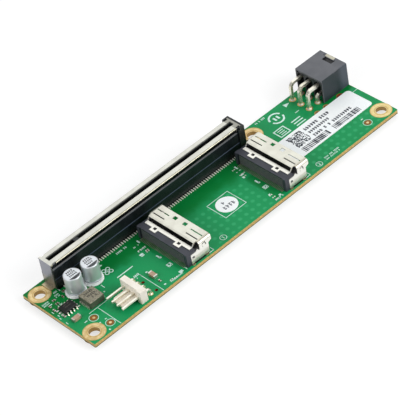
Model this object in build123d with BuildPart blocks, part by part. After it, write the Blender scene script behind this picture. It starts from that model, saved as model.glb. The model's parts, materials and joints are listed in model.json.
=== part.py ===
from build123d import *
import math
import os

# Riser board: a long card slot, two cable sockets and a power header on one circuit board.
# Sizes are millimetres. Places are measured from the board's left and front edges, and
# heights from the board's top face. The model's own origin is the axis of the front left
# mounting hole at the board's underside.

# Circuit board
BOARD_L = 144.6
BOARD_W = 36.7
BOARD_T = 1.6
BOARD_CORNER_R = 0.4
HOLE_INSET_X = 3.8
HOLE_INSET_Y = 4.5
MID_HOLE_X = 103.9
HOLE_R = 2.0
HOLE_RING_R = 4.0
SLEEVE_T = 0.16
COPPER_T = 0.04
LINING_T = 0.06
LINING_GAP = 0.01
TAIL_DROP = 1.2
SOLDER_H = 0.8
SOLDER_TIP_MARGIN = 0.12
SOLDER_EDGE_MARGIN = 0.1

# Long card slot
SLOT_LEFT = 8.95
SLOT_BACK_INSET = 4.1
SLOT_HALF_W = 3.35
SLOT_TOP = 10.7
SHEET_T = 0.3
CONTACT_PITCH = 1.0
SHORT_RUN = 11
LONG_RUN = 71
FIRST_CONTACT = 2.7
KEY_PITCHES = 3
KEY_W = 1.9
CARD_GROOVE_W = 1.75
CARD_GROOVE_DEPTH = 8.4
CARD_END_LEFT = 0.9
CARD_END_RIGHT = 1.35
OPENING_END_LEFT = 1.25
OPENING_END_RIGHT = 1.65
OPENING_NEAR = 0.9
OPENING_FAR = 1.25
LIP_H = 1.45
LIP_BEND_R = 0.6
LIP_START = 2.45
LIP_END_MARGIN = 0.55
LIP_NOTCH_W = 1.5
LIP_NOTCH_DEPTH = 0.65
SHELL_RIGHT_MARGIN = 2.5
SHELL_END_HALF_W = 2.95
SHELL_FOOT_L = 1.8
SHELL_FOOT_LIFT = 0.05
SHELL_FOOT_HALF_W = 2.35
SHELL_TAB_H = 1.7
HOUSING_FOOT_H = 0.3
HOUSING_FOOT_L = 0.9
SHOULDER_TOP = 8.85
SHOULDER_CHAMFER = 0.35
SHOULDER_OUT = 0.15
STEP_TOP = 4.3
STEP_OUT = 0.15
POST_LEFT_MARGIN = 0.65
POST_L = 2.7
POST_OUT = 0.75
POST_NOTCH_W = 0.7
POST_NOTCH_H = 0.9
FIT_GAP = 0.05
PEG_R = 1.0
PEG_GAP = 0.05
PEG_L = 1.4

CONTACT_W = 0.4
CONTACT_T = 0.2
CONTACT_FOOT_NEAR = 4.95
CONTACT_FOOT_FAR = 3.9
CONTACT_STEM = 2.5
CONTACT_BUMP = 0.62
CONTACT_BUMP_Z = 7.2
CONTACT_TIP = 1.3
CONTACT_TIP_Z = 10.2
CONTACT_ROOT_Z = 2.6
CHANNEL_W = 0.55
CHANNEL_OUT = 2.65
CHANNEL_TOP = 10.35

# Cable sockets
SOCKET_LEFT = 43.4
SOCKET_SPACING = 46.6
SOCKET_Y = 13.6
PLUG_PITCH = 0.6
PLUG_CONTACTS = 37
BODY_L = 9.2
BODY_HALF_W = 12.05
BODY_TOP = 5.2
BODY_FOOT_H = 0.3
CHEEK_OUT = 0.2
CHEEK_L = 1.8
CHEEK_IN = 11.0
CHEEK_HALF_W = 12.3
TROUGH_GAP = 0.15
TROUGH_L = 2.2
TROUGH_DEPTH = 0.45
TAIL_ROOF_Z = 4.7
TAIL_ROOM_L = 1.5
PLUG_GROOVE_HALF_W = 11.3
PLUG_GROOVE_LOW = 2.5
PLUG_GROOVE_HIGH = 3.7
PLUG_GROOVE_DEPTH = 5.5
PLUG_CHANNEL_W = 0.35
UPPER_CHANNEL_TOP = 4.6
LOWER_CHANNEL_Z = 1.4
LOWER_CHANNEL_X = 4.0
LOWER_LEG_L = 0.7
LOWER_FOOT_L = 1.05
PLUG_BUMP_INSET = 1.4
PLUG_TIP_INSET = 0.7
PLUG_CONTACT_W = 0.22
PLUG_CONTACT_T = 0.16
COMB_X = 0.35
COMB_LOW = 0.35
COMB_HIGH = 3.9
COMB_GROOVE_DEPTH = 0.4
TAIL_FOOT_X = -1.2

CAGE_T = 0.25
CAGE_REAR = 1.7
CAGE_SIDE_FRONT = 9.8
CAGE_FRONT = 11.25
CAGE_TOP = 7.0
CAGE_BEND_R = 1.2
CAGE_BOTTOM = 0.3
CAGE_SIDE_TOP = 4.22
CAGE_ROOF_REAR = 4.7
CAGE_SHOULDER_X = 5.85
CAGE_ROOF_HALF_W = 11.1
CAGE_LOW_FRONT_Z = 4.9
CAGE_PEAK_Z = 4.75
CAGE_SLIT_Z = 4.05
LIP_DROP = 0.18
LIP_FOLD_L = 0.6
STRIP_REAR = 2.55
STRIP_FRONT = 4.0
STRIP_HALF_W = 11.0
LOOP_Y = 5.87
LOOP_W = 2.9
LOOP_OUT = 1.45
LOOP_HOLE_L = 1.1
LOOP_HOLE_W = 1.3
WINDOW_L = 1.4
WINDOW_W = 1.7
WINDOW_X = 9.4
WINDOW_Y = 2.4
WINDOW_ASIDE = 0.35
ROOF_SLIT_W = 0.45
ROOF_SLIT_NEAR = 5.3
ROOF_SLIT_FAR = 10.9
ROOF_SLIT_XS = (6.7, 8.9)
SIDE_HOLE_X = 2.75
SIDE_HOLE_Z = 2.75
SIDE_HOLE_L = 1.0
SIDE_HOLE_H = 0.8
LANCE_TIP = (8.3, 5.75)
LANCE_REAR = (7.1, 5.35)
LANCE_FRONT = (8.75, 4.3)
LANCE_DOT = (7.2, 4.4)
LANCE_W = 0.35
CAGE_LEG_XS = (2.25, 8.5)
CAGE_LEG_W = 0.9
CAGE_LEG_HOLE_R = 0.55
CAGE_LEG_RING_R = 0.85

# Power header
POWER_L = 12.95
POWER_W = 12.9
POWER_H = 9.8
POWER_BACK_INSET = 0.2
POWER_PITCH = 4.2
POWER_COLUMNS = 3
POWER_SIDE_MARGIN = 2.25
POWER_ROW_LOW = 3.0
POWER_ROW_HIGH = 7.2
POWER_PIN = 1.07
POWER_PIN_TIP = 0.2
POWER_TAIL_LOW = 0.85
POWER_TAIL_HIGH = 5.25
POWER_BEND_LOW = 1.1
POWER_BEND_HIGH = 1.9
CAVITY_W = 3.5
CAVITY_DEPTH = 9.5
PIN_END_INSET = 1.8
ARCH_W = 3.6
ARCH_TOP = 8.6
ARCH_DEPTH = 2.5
POWER_HOLE_R = 0.85
POWER_RING_R = 1.3
POWER_PEG_R = 1.45
POWER_PEG_X = 6.4
LATCH_L = 2.1
LATCH_Y = 4.2
LATCH_W = 4.6
LATCH_DEPTH = 0.65
LATCH_BAR_L = 1.4
LATCH_BAR_W = 5.4
LATCH_BAR_Y = 4.9
LATCH_BAR_DROP = 0.45
SEAM_L = 7.0
SEAM_W = 0.2
SEAM_DEPTH = 0.25
VENT_R = 0.45
VENT_INSET_Y = 1.2
VENT_INSET_Z = 0.9
VENT_DEPTH = 1.0

# Fan header
FAN_WALL_X = 22.5
FAN_WALL_T = 2.3
FAN_NEAR_Y = 1.0
FAN_WALL_W = 10.6
FAN_H = 5.0
FAN_WALL_LOW = 0.5
FAN_POST_OUT = 0.5
FAN_POST_W = 2.0
FAN_PIN_PITCH = 2.54
FAN_PINS = 4
FAN_FIRST_PIN = 1.49
FAN_PIN = 0.64
FAN_PIN_TIP = 0.12
FAN_PIN_Z = 2.5
FAN_PIN_X = 14.85
FAN_BEND_X = 27.1
FAN_BEND_R = 0.9
FAN_TAB_L = 6.4
FAN_TAB_W = 6.2
FAN_TAB_T = 0.7
FAN_TAB_GAP = 0.1
FAN_TAB_MARGIN = 0.4
FAN_TAB_CORNER = 0.9
FAN_HOLE_R = 0.55
FAN_RING_R = 0.9

# Board parts
CAN_PLACES = ((12.45, 23.35), (19.9, 23.15))
CAN_R = 3.1
CAN_TOP = 8.1
CAN_LOW = 0.6
CAN_EDGE_R = 0.35
CAN_GROOVE_Z = 1.25
CAN_GROOVE_H = 0.4
CAN_GROOVE_DEPTH = 0.3
CAN_BASE_GAP = 0.1
CAN_FLANGE_OUT = 0.6
CAN_FLANGE_TOP = 0.4
CAN_COLLAR_OUT = 0.35
CAN_COLLAR_TOP = 0.95
CAN_LEAD_W = 0.9
CAN_LEAD_OUT = 0.05
CAN_LEAD_IN = 2.2

CHOKE_X = 9.9
CHOKE_Y = 12.6
CHOKE_L = 6.0
CHOKE_W = 6.2
CHOKE_LOW = 0.2
CHOKE_TOP = 2.9
CHOKE_EDGE = 0.15
TERMINAL_W = 4.8
TERMINAL_OUT = 0.5
TERMINAL_TOP = 0.8
TERMINAL_IN = 1.3
TERMINAL_T = 0.2

CHIP_X = 5.4
CHIP_Y = 19.4
CHIP_L = 4.9
CHIP_W = 3.9
CHIP_LOW = 0.15
CHIP_TOP = 1.5
CHIP_BEVEL = 0.3
CHIP_DOT_R = 0.35
CHIP_DOT_DEPTH = 0.05
CHIP_DOT_INSET = 0.8
CHIP_LEADS = 4
CHIP_LEAD_PITCH = 1.27
CHIP_LEAD_W = 0.42
CHIP_LEAD_T = 0.2
CHIP_LEAD_SPAN = 6.0
CHIP_LEAD_Z = 0.85
CHIP_LEAD_FOOT = 0.6

LARGE_PARTS = ((3.9, 13.4, 0), (33.3, 8.0, 90))
LARGE_L = 3.2
LARGE_W = 1.6
LARGE_H = 1.2
LARGE_END_L = 0.5
END_LIFT = 0.04
SMALL_PARTS = ((4.7, 26.0, 0), (7.9, 24.9, 90), (9.7, 26.9, 0), (4.45, 23.9, 0), (2.0, 24.6, 90),
               (1.8, 22.2, 90), (2.1, 17.4, 90), (33.1, 4.4, 90), (40.3, 18.6, 0))
SMALL_L = 1.1
SMALL_W = 0.6
SMALL_H = 0.5
SMALL_END_L = 0.28

EMPTY_HOLES = ((29.13, 8.51), (29.5, 2.3))
EMPTY_HOLE_R = 0.6
SPARE_PEG_R = 1.5
LEFT_DOTS = ((7.9, 9.4), (9.9, 3.4))
RIGHT_DOT_INSET = 11.5
RIGHT_DOT_Y = 3.8
DOT_R = 0.5
LABEL_GAP = 1.35
LABEL_RIGHT_INSET = 2.6
LABEL_NEAR = 9.3
LABEL_FAR = 21.75
LABEL_CORNER_R = 1.4
PAPER_T = 0.1
STICKER_PLACE = (72.9, 13.4)
STICKER_R = 4.0

# Sizes that follow
SLOT_Y = BOARD_W - SLOT_BACK_INSET
FIRST_X = SLOT_LEFT + FIRST_CONTACT
KEY_X = FIRST_X + (SHORT_RUN - 1 + KEY_PITCHES / 2) * CONTACT_PITCH
LONG_X = FIRST_X + (SHORT_RUN - 1 + KEY_PITCHES) * CONTACT_PITCH
LAST_X = LONG_X + (LONG_RUN - 1) * CONTACT_PITCH
CONTACT_XS = [FIRST_X + i * CONTACT_PITCH for i in range(SHORT_RUN)]
CONTACT_XS += [LONG_X + i * CONTACT_PITCH for i in range(LONG_RUN)]
CARD_LEFT = FIRST_X - CARD_END_LEFT
CARD_RIGHT = LAST_X + CARD_END_RIGHT
HOUSING_TOP = SLOT_TOP - SHEET_T
HOUSING_LEFT = SLOT_LEFT + SHEET_T
POST_LEFT = LAST_X + POST_LEFT_MARGIN
POST_RIGHT = POST_LEFT + POST_L
SHELL_RIGHT = LAST_X + SHELL_RIGHT_MARGIN
UPPER_HALF_W = SLOT_HALF_W - SHEET_T - FIT_GAP
SHOULDER_HALF_W = SLOT_HALF_W + SHOULDER_OUT
STEP_HALF_W = SHOULDER_HALF_W + STEP_OUT
POST_HALF_W = SLOT_HALF_W + POST_OUT
PEG_XS = (KEY_X, (POST_LEFT + POST_RIGHT) / 2)

PLUG_YS = [(i - (PLUG_CONTACTS - 1) / 2) * PLUG_PITCH for i in range(PLUG_CONTACTS)]
CAGE_IN = BODY_HALF_W + FIT_GAP / 2
CAGE_OUT = CAGE_IN + CAGE_T
SOCKETS = [(SOCKET_LEFT + i * SOCKET_SPACING, SOCKET_Y) for i in range(2)]

POWER_LEFT = BOARD_L - POWER_L
POWER_FAR = BOARD_W - POWER_BACK_INSET
POWER_NEAR = POWER_FAR - POWER_W
COLUMN_YS = [POWER_NEAR + POWER_SIDE_MARGIN + i * POWER_PITCH for i in range(POWER_COLUMNS)]
SPARE_Y = COLUMN_YS[0] - POWER_PITCH
TAIL_LOW_X = POWER_LEFT - POWER_TAIL_LOW
TAIL_HIGH_X = POWER_LEFT - POWER_TAIL_HIGH
POWER_PEGS_X = POWER_LEFT + POWER_PEG_X

FAN_YS = [FAN_NEAR_Y + FAN_FIRST_PIN + i * FAN_PIN_PITCH for i in range(FAN_PINS)]
TAIL_END = -BOARD_T - TAIL_DROP

MOUNT_PLACES = [(HOLE_INSET_X, HOLE_INSET_Y), (HOLE_INSET_X, BOARD_W - HOLE_INSET_Y),
                (BOARD_L - HOLE_INSET_X, HOLE_INSET_Y), (MID_HOLE_X, BOARD_W - HOLE_INSET_Y)]
POWER_PINS = [(x, y) for x in (TAIL_LOW_X, TAIL_HIGH_X) for y in COLUMN_YS]
SPARE_PINS = [(x, SPARE_Y) for x in (TAIL_LOW_X, TAIL_HIGH_X)]
FAN_PIN_PLACES = [(FAN_BEND_X, y) for y in FAN_YS]
DOT_PLACES = [*LEFT_DOTS, (BOARD_L - RIGHT_DOT_INSET, RIGHT_DOT_Y)]
LABEL_RIGHT = BOARD_L - LABEL_RIGHT_INSET
LABEL_LEFT = SOCKETS[-1][0] + CAGE_FRONT + LABEL_GAP
CAGE_LEG_Y = CAGE_OUT - CAGE_T / 2
CAGE_LEGS = [(rear + x, mid + side * CAGE_LEG_Y)
             for rear, mid in SOCKETS for x in CAGE_LEG_XS for side in (-1, 1)]
SLOT_PEGS = [(x, SLOT_Y) for x in PEG_XS]
POWER_PEGS = [(POWER_PEGS_X, y) for y in (COLUMN_YS[0], COLUMN_YS[-1])]


# Planes and plain shapes
def level(height, at=(0, 0)):
    """Sketch plane seen from above, at a height over the board's top face."""
    return Plane((at[0] - HOLE_INSET_X, at[1] - HOLE_INSET_Y, BOARD_T + height))


def front_view(y, at=(0, 0)):
    """Sketch plane seen from the front edge: right is along the board, up is height."""
    origin = (at[0] - HOLE_INSET_X, at[1] + y - HOLE_INSET_Y, BOARD_T)
    return Plane(origin, x_dir=(1, 0, 0), z_dir=(0, -1, 0))


def end_view(x, at=(0, 0)):
    """Sketch plane seen from the right end: right is towards the back, up is height."""
    origin = (at[0] + x - HOLE_INSET_X, at[1] - HOLE_INSET_Y, BOARD_T)
    return Plane(origin, x_dir=(0, 1, 0), z_dir=(1, 0, 0))


def block(xs, ys, zs, at=(0, 0), mode=Mode.ADD):
    """Box between two places along each direction."""
    with BuildSketch(level(zs[0], at)) as outline:
        with Locations(((xs[0] + xs[1]) / 2, (ys[0] + ys[1]) / 2)):
            Rectangle(xs[1] - xs[0], ys[1] - ys[0])
    extrude(outline.sketch, amount=zs[1] - zs[0], mode=mode)


def blocks(places, length, width, zs, at=(0, 0), mode=Mode.ADD):
    """Equal boxes, one centred on each place."""
    with BuildSketch(level(zs[0], at)) as outline:
        with Locations(*places):
            Rectangle(length, width)
    extrude(outline.sketch, amount=zs[1] - zs[0], mode=mode)


def discs(places, radius, zs, mode=Mode.ADD):
    """Equal upright round plugs, one centred on each place."""
    with BuildSketch(level(zs[0])) as outline:
        with Locations(*places):
            Circle(radius)
    extrude(outline.sketch, amount=zs[1] - zs[0], mode=mode)


def bar_along(points, xs, at=(0, 0), mode=Mode.ADD):
    """Outline seen from the end, run along the board from one place to another."""
    with BuildSketch(end_view(xs[0], at)) as outline:
        with BuildLine():
            Polyline(*points, close=True)
        make_face()
    extrude(outline.sketch, amount=xs[1] - xs[0], mode=mode)


def bar_across(points, ys, at=(0, 0), mode=Mode.ADD):
    """Outline seen from the front, run across the board from one place to another."""
    with BuildSketch(front_view(ys[1], at)) as outline:
        with BuildLine():
            Polyline(*points, close=True)
        make_face()
    extrude(outline.sketch, amount=ys[1] - ys[0], mode=mode)


def strip_outline(points, thickness):
    """Corners of a bent strip of even thickness whose middle line runs through the points."""
    left, right = [], []
    last = len(points) - 1
    for i, (u, v) in enumerate(points):
        before = points[max(i - 1, 0)]
        after = points[min(i + 1, last)]
        into = math.atan2(v - before[1], u - before[0]) if i else None
        out = math.atan2(after[1] - v, after[0] - u) if i < last else into
        into = out if into is None else into
        half_turn = math.remainder(out - into, 2 * math.pi) / 2
        reach = thickness / 2 / math.cos(half_turn)
        angle = into + half_turn + math.pi / 2
        left.append((u + reach * math.cos(angle), v + reach * math.sin(angle)))
        right.append((u - reach * math.cos(angle), v - reach * math.sin(angle)))
    return left + right[::-1]


def finish(shape, name):
    """Names a finished piece and writes its file."""
    shape.part.label = name
    export_step(shape.part, f"parts/{name}.step")


# Circuit board and its metal
def make_board():
    """Laminate with every drilled hole."""
    with BuildPart() as circuit_board:
        with BuildSketch(level(-BOARD_T)) as outline:
            with Locations((BOARD_L / 2, BOARD_W / 2)):
                RectangleRounded(BOARD_L, BOARD_W, BOARD_CORNER_R)
        extrude(outline.sketch, amount=BOARD_T)
        lined = LINING_T + LINING_GAP
        drilled = (-BOARD_T, 0)
        discs(MOUNT_PLACES, HOLE_R + SLEEVE_T + LINING_GAP, drilled, Mode.SUBTRACT)
        discs(POWER_PINS + SPARE_PINS, POWER_HOLE_R + lined, drilled, Mode.SUBTRACT)
        discs(FAN_PIN_PLACES, FAN_HOLE_R + lined, drilled, Mode.SUBTRACT)
        discs(CAGE_LEGS, CAGE_LEG_HOLE_R + lined, drilled, Mode.SUBTRACT)
        discs(EMPTY_HOLES, EMPTY_HOLE_R, drilled, Mode.SUBTRACT)
        discs(SLOT_PEGS, PEG_R + PEG_GAP, drilled, Mode.SUBTRACT)
        discs(POWER_PEGS, POWER_PEG_R + PEG_GAP, drilled, Mode.SUBTRACT)
        discs([(POWER_PEGS_X, SPARE_Y)], SPARE_PEG_R, drilled, Mode.SUBTRACT)
    finish(circuit_board, "circuit_board")


def lined_holes(places, bore_r, ring_r, wall=LINING_T):
    """Tube through the board with a flat ring on each face."""
    discs(places, ring_r, (0, COPPER_T))
    discs(places, ring_r, (-BOARD_T - COPPER_T, -BOARD_T))
    discs(places, bore_r + wall, (-BOARD_T, 0))
    discs(places, bore_r, (-BOARD_T - COPPER_T, COPPER_T), Mode.SUBTRACT)


def make_linings():
    """Plated metal of the mounting holes and of the pin holes."""
    with BuildPart() as mounting_hole_plating:
        lined_holes(MOUNT_PLACES, HOLE_R, HOLE_RING_R, SLEEVE_T)
    finish(mounting_hole_plating, "mounting_hole_plating")

    with BuildPart() as pin_hole_plating:
        lined_holes(POWER_PINS + SPARE_PINS, POWER_HOLE_R, POWER_RING_R)
        lined_holes(FAN_PIN_PLACES, FAN_HOLE_R, FAN_RING_R)
        lined_holes(CAGE_LEGS, CAGE_LEG_HOLE_R, CAGE_LEG_RING_R)
    finish(pin_hole_plating, "pin_hole_plating")


def solder_cones(places, ring_r, length, width):
    """Fillets under the board that narrow down each tail of the given section."""
    ring_face = -BOARD_T - COPPER_T
    with Locations(*[(x, y, ring_face) for x, y in places]):
        Cone(math.hypot(length, width) / 2 + SOLDER_TIP_MARGIN, ring_r - SOLDER_EDGE_MARGIN,
             SOLDER_H, align=(Align.CENTER, Align.CENTER, Align.MAX))
    blocks(places, length, width, (ring_face - SOLDER_H, ring_face), mode=Mode.SUBTRACT)


def make_solder():
    """Solder around every pin tail on the underside."""
    with BuildPart(level(0)) as solder_joints:
        solder_cones(POWER_PINS, POWER_RING_R, POWER_PIN, POWER_PIN)
        solder_cones(FAN_PIN_PLACES, FAN_RING_R, FAN_PIN, FAN_PIN)
        solder_cones(CAGE_LEGS, CAGE_LEG_RING_R, CAGE_LEG_W, CAGE_T)
    finish(solder_joints, "solder_joints")


def make_dots():
    """Bare metal dots that cameras line the board up with."""
    with BuildPart() as alignment_dots:
        discs(DOT_PLACES, DOT_R, (0, COPPER_T))
    finish(alignment_dots, "alignment_dots")


# Long card slot
def slot_section(half_top, half_shoulder, half_foot):
    """Stepped outline of the slot's plastic, seen from the end."""
    corner = LIP_BEND_R - SHEET_T
    near = [(SLOT_Y - half_foot, HOUSING_FOOT_H), (SLOT_Y - half_foot, STEP_TOP),
            (SLOT_Y - half_shoulder, STEP_TOP),
            (SLOT_Y - half_shoulder, SHOULDER_TOP - SHOULDER_CHAMFER),
            (SLOT_Y - half_shoulder + SHOULDER_CHAMFER, SHOULDER_TOP),
            (SLOT_Y - half_top, SHOULDER_TOP), (SLOT_Y - half_top, HOUSING_TOP - corner),
            (SLOT_Y - half_top + corner, HOUSING_TOP)]
    far = [(2 * SLOT_Y - y, z) for y, z in reversed(near)]
    return near + far


def make_slot_housing():
    """Long moulded body with card groove, contact channels, end post, feet and pegs."""
    with BuildPart() as slot_housing:
        bar_along(slot_section(UPPER_HALF_W, SHOULDER_HALF_W, STEP_HALF_W),
                  (HOUSING_LEFT, POST_LEFT))
        post_ys = (SLOT_Y - POST_HALF_W, SLOT_Y + POST_HALF_W)
        block((POST_LEFT, POST_RIGHT), post_ys, (0, SLOT_TOP))
        recess_ys = (SLOT_Y - SLOT_HALF_W - FIT_GAP, SLOT_Y + SLOT_HALF_W + FIT_GAP)
        shell_end = SHELL_RIGHT + FIT_GAP
        block((POST_LEFT, shell_end), recess_ys, (HOUSING_TOP, SLOT_TOP), mode=Mode.SUBTRACT)
        block((shell_end - SHEET_T - 2 * FIT_GAP, shell_end), recess_ys,
              (SLOT_TOP - SHELL_TAB_H - FIT_GAP, SLOT_TOP), mode=Mode.SUBTRACT)
        block((POST_LEFT, POST_LEFT + POST_NOTCH_W), (post_ys[0], recess_ys[0]),
              (SLOT_TOP - POST_NOTCH_H, SLOT_TOP), mode=Mode.SUBTRACT)

        groove_z = (HOUSING_TOP - CARD_GROOVE_DEPTH, HOUSING_TOP)
        groove_ys = (SLOT_Y - CARD_GROOVE_W / 2, SLOT_Y + CARD_GROOVE_W / 2)
        block((CARD_LEFT, KEY_X - KEY_W / 2), groove_ys, groove_z, mode=Mode.SUBTRACT)
        block((KEY_X + KEY_W / 2, CARD_RIGHT), groove_ys, groove_z, mode=Mode.SUBTRACT)
        depth = CHANNEL_OUT - CARD_GROOVE_W / 2
        middle = CARD_GROOVE_W / 2 + depth / 2
        channels = [(x, SLOT_Y + side * middle) for x in CONTACT_XS for side in (-1, 1)]
        blocks(channels, CHANNEL_W, depth, (HOUSING_FOOT_H, CHANNEL_TOP), mode=Mode.SUBTRACT)

        foot_xs = (HOUSING_LEFT + HOUSING_FOOT_L / 2, KEY_X)
        blocks([(x, SLOT_Y) for x in foot_xs], HOUSING_FOOT_L, 2 * STEP_HALF_W,
               (0, HOUSING_FOOT_H))
        discs(SLOT_PEGS, PEG_R, (-PEG_L, HOUSING_FOOT_H))
    finish(slot_housing, "slot_housing")


def make_slot_shell():
    """Folded steel cover with both lips, the card opening, an end plate and a foot."""
    left, right = SLOT_LEFT, SHELL_RIGHT
    near, far = SLOT_Y - SLOT_HALF_W, SLOT_Y + SLOT_HALF_W
    lip_xs = (SLOT_LEFT + LIP_START, LAST_X + LIP_END_MARGIN)
    lip_low = SLOT_TOP - LIP_H
    with BuildPart() as slot_shell:
        with BuildSketch(end_view(lip_xs[0])) as channel:
            make_face(bent_u(SLOT_HALF_W, SLOT_TOP, lip_low, LIP_BEND_R, SLOT_Y))
            inner = bent_u(SLOT_HALF_W - SHEET_T, HOUSING_TOP, lip_low, LIP_BEND_R - SHEET_T,
                           SLOT_Y)
            make_face(inner, mode=Mode.SUBTRACT)
        extrude(channel.sketch, amount=lip_xs[1] - lip_xs[0])
        block((left, lip_xs[0]), (near, far), (HOUSING_TOP, SLOT_TOP))
        block((lip_xs[1], right), (near, far), (HOUSING_TOP, SLOT_TOP))
        notches = [(x, y + side * LIP_NOTCH_DEPTH / 2)
                   for x in (lip_xs[0] - LIP_NOTCH_W / 2, lip_xs[1] + LIP_NOTCH_W / 2)
                   for y, side in ((near, 1), (far, -1))]
        blocks(notches, LIP_NOTCH_W, LIP_NOTCH_DEPTH, (HOUSING_TOP, SLOT_TOP),
               mode=Mode.SUBTRACT)
        block((FIRST_X - OPENING_END_LEFT, LAST_X + OPENING_END_RIGHT),
              (SLOT_Y - OPENING_NEAR, SLOT_Y + OPENING_FAR), (HOUSING_TOP, SLOT_TOP),
              mode=Mode.SUBTRACT)
        block((left, left + SHEET_T), (SLOT_Y - SHELL_END_HALF_W, SLOT_Y + SHELL_END_HALF_W),
              (0, SLOT_TOP))
        block((right - SHEET_T, right), (near + LIP_NOTCH_DEPTH, far - LIP_NOTCH_DEPTH),
              (SLOT_TOP - SHELL_TAB_H, SLOT_TOP))
        block((left - SHELL_FOOT_L, left + SHEET_T),
              (SLOT_Y - SHELL_FOOT_HALF_W, SLOT_Y + SHELL_FOOT_HALF_W),
              (SHELL_FOOT_LIFT, SHELL_FOOT_LIFT + SHEET_T))
    finish(slot_shell, "slot_shell")


def make_slot_contacts():
    """Two rows of spring strips, the far row with shorter feet inside the board's edge."""
    foot_z = CONTACT_T / 2
    stem = [(CONTACT_STEM, foot_z), (CONTACT_STEM, CONTACT_ROOT_Z),
            (CONTACT_BUMP + CONTACT_T / 2, CONTACT_BUMP_Z), (CONTACT_TIP, CONTACT_TIP_Z)]
    for name, side, foot_out in (("slot_contacts_near", -1, CONTACT_FOOT_NEAR),
                                 ("slot_contacts_far", 1, CONTACT_FOOT_FAR)):
        points = [(SLOT_Y + side * out, z) for out, z in [(foot_out, foot_z), *stem]]
        with BuildPart() as contact:
            bar_along(strip_outline(points, CONTACT_T), (-CONTACT_W / 2, CONTACT_W / 2))
        with BuildPart() as contacts:
            with Locations(*[(x, 0, 0) for x in CONTACT_XS]):
                add(contact.part)
        finish(contacts, name)


# Cable sockets
def make_socket_housing(number, at):
    """Moulded socket body: rear cheeks, plug groove, and a channel for every contact."""
    front = BODY_L
    groove_rear = front - PLUG_GROOVE_DEPTH
    with BuildPart() as housing:
        block((TAIL_ROOM_L, front), (-BODY_HALF_W, BODY_HALF_W), (BODY_FOOT_H, BODY_TOP), at)
        block((0, TAIL_ROOM_L), (-BODY_HALF_W, BODY_HALF_W), (TAIL_ROOF_Z, BODY_TOP), at)
        cheek_mid = (CHEEK_IN + CHEEK_HALF_W) / 2
        blocks([(CHEEK_L / 2 - CHEEK_OUT, side * cheek_mid) for side in (-1, 1)],
               CHEEK_L, CHEEK_HALF_W - CHEEK_IN, (0, BODY_TOP), at)
        block((groove_rear, front), (-PLUG_GROOVE_HALF_W, PLUG_GROOVE_HALF_W),
              (PLUG_GROOVE_LOW, PLUG_GROOVE_HIGH), at, Mode.SUBTRACT)
        trough_rear = STRIP_FRONT + TROUGH_GAP
        block((trough_rear, trough_rear + TROUGH_L), (-STRIP_HALF_W, STRIP_HALF_W),
              (BODY_TOP - TROUGH_DEPTH, BODY_TOP), at, Mode.SUBTRACT)
        upper = [((TAIL_ROOM_L + front) / 2, y) for y in PLUG_YS]
        blocks(upper, front - TAIL_ROOM_L, PLUG_CHANNEL_W,
               (PLUG_GROOVE_HIGH, UPPER_CHANNEL_TOP), at, Mode.SUBTRACT)
        lower = [((LOWER_CHANNEL_X + front) / 2, y) for y in PLUG_YS]
        blocks(lower, front - LOWER_CHANNEL_X, PLUG_CHANNEL_W,
               (LOWER_CHANNEL_Z, PLUG_GROOVE_LOW), at, Mode.SUBTRACT)
        legs = [(LOWER_CHANNEL_X + LOWER_LEG_L / 2, y) for y in PLUG_YS]
        blocks(legs, LOWER_LEG_L, PLUG_CHANNEL_W, (BODY_FOOT_H, LOWER_CHANNEL_Z), at,
               Mode.SUBTRACT)
    finish(housing, f"socket_{number}_housing")


def make_socket_contacts(number, at):
    """Upper row with tails behind the body, and lower row with feet under it."""
    foot_z = PLUG_CONTACT_T / 2
    stem_x = COMB_X + COMB_GROOVE_DEPTH / 2
    upper_z = (TAIL_ROOF_Z + PLUG_GROOVE_HIGH) / 2
    bump_x = BODY_L - PLUG_BUMP_INSET
    tip_x = BODY_L - PLUG_TIP_INSET
    rear_x = BODY_L - PLUG_GROOVE_DEPTH
    upper = [(TAIL_FOOT_X, foot_z), (stem_x, foot_z), (stem_x, upper_z), (rear_x, upper_z),
             (bump_x, PLUG_GROOVE_HIGH), (tip_x, upper_z)]
    leg_x = LOWER_CHANNEL_X + LOWER_LEG_L / 2
    lower_z = (LOWER_CHANNEL_Z + PLUG_GROOVE_LOW) / 2
    lower = [(leg_x - LOWER_FOOT_L, foot_z), (leg_x, foot_z), (leg_x, lower_z),
             (leg_x + LOWER_LEG_L, lower_z), (bump_x, PLUG_GROOVE_LOW), (tip_x, lower_z)]
    for name, path in (("upper_contacts", upper), ("lower_contacts", lower)):
        with BuildPart() as contact:
            bar_across(strip_outline(path, PLUG_CONTACT_T),
                       (-PLUG_CONTACT_W / 2, PLUG_CONTACT_W / 2), at)
        with BuildPart() as contacts:
            with Locations(*[(0, y, 0) for y in PLUG_YS]):
                add(contact.part)
        finish(contacts, f"socket_{number}_{name}")


def make_socket_comb(number, at):
    """Plate behind the body whose grooves keep the rear tails apart."""
    with BuildPart() as comb:
        block((COMB_X, TAIL_ROOM_L), (-CHEEK_IN, CHEEK_IN), (COMB_LOW, COMB_HIGH), at)
        grooves = [(COMB_X + COMB_GROOVE_DEPTH / 2, y) for y in PLUG_YS]
        blocks(grooves, COMB_GROOVE_DEPTH, PLUG_CHANNEL_W, (COMB_LOW, COMB_HIGH), at,
               Mode.SUBTRACT)
    finish(comb, f"socket_{number}_contact_comb")


def bent_u(half_w, top, low, radius, middle=0):
    """Closed upside-down U with rounded shoulders, as seen from the end."""
    near, far = middle - half_w, middle + half_w
    with BuildLine() as outline:
        FilletPolyline((near, low), (near, top), (far, top), (far, low), radius=radius)
        Line((far, low), (near, low))
    return outline.edges()


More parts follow.
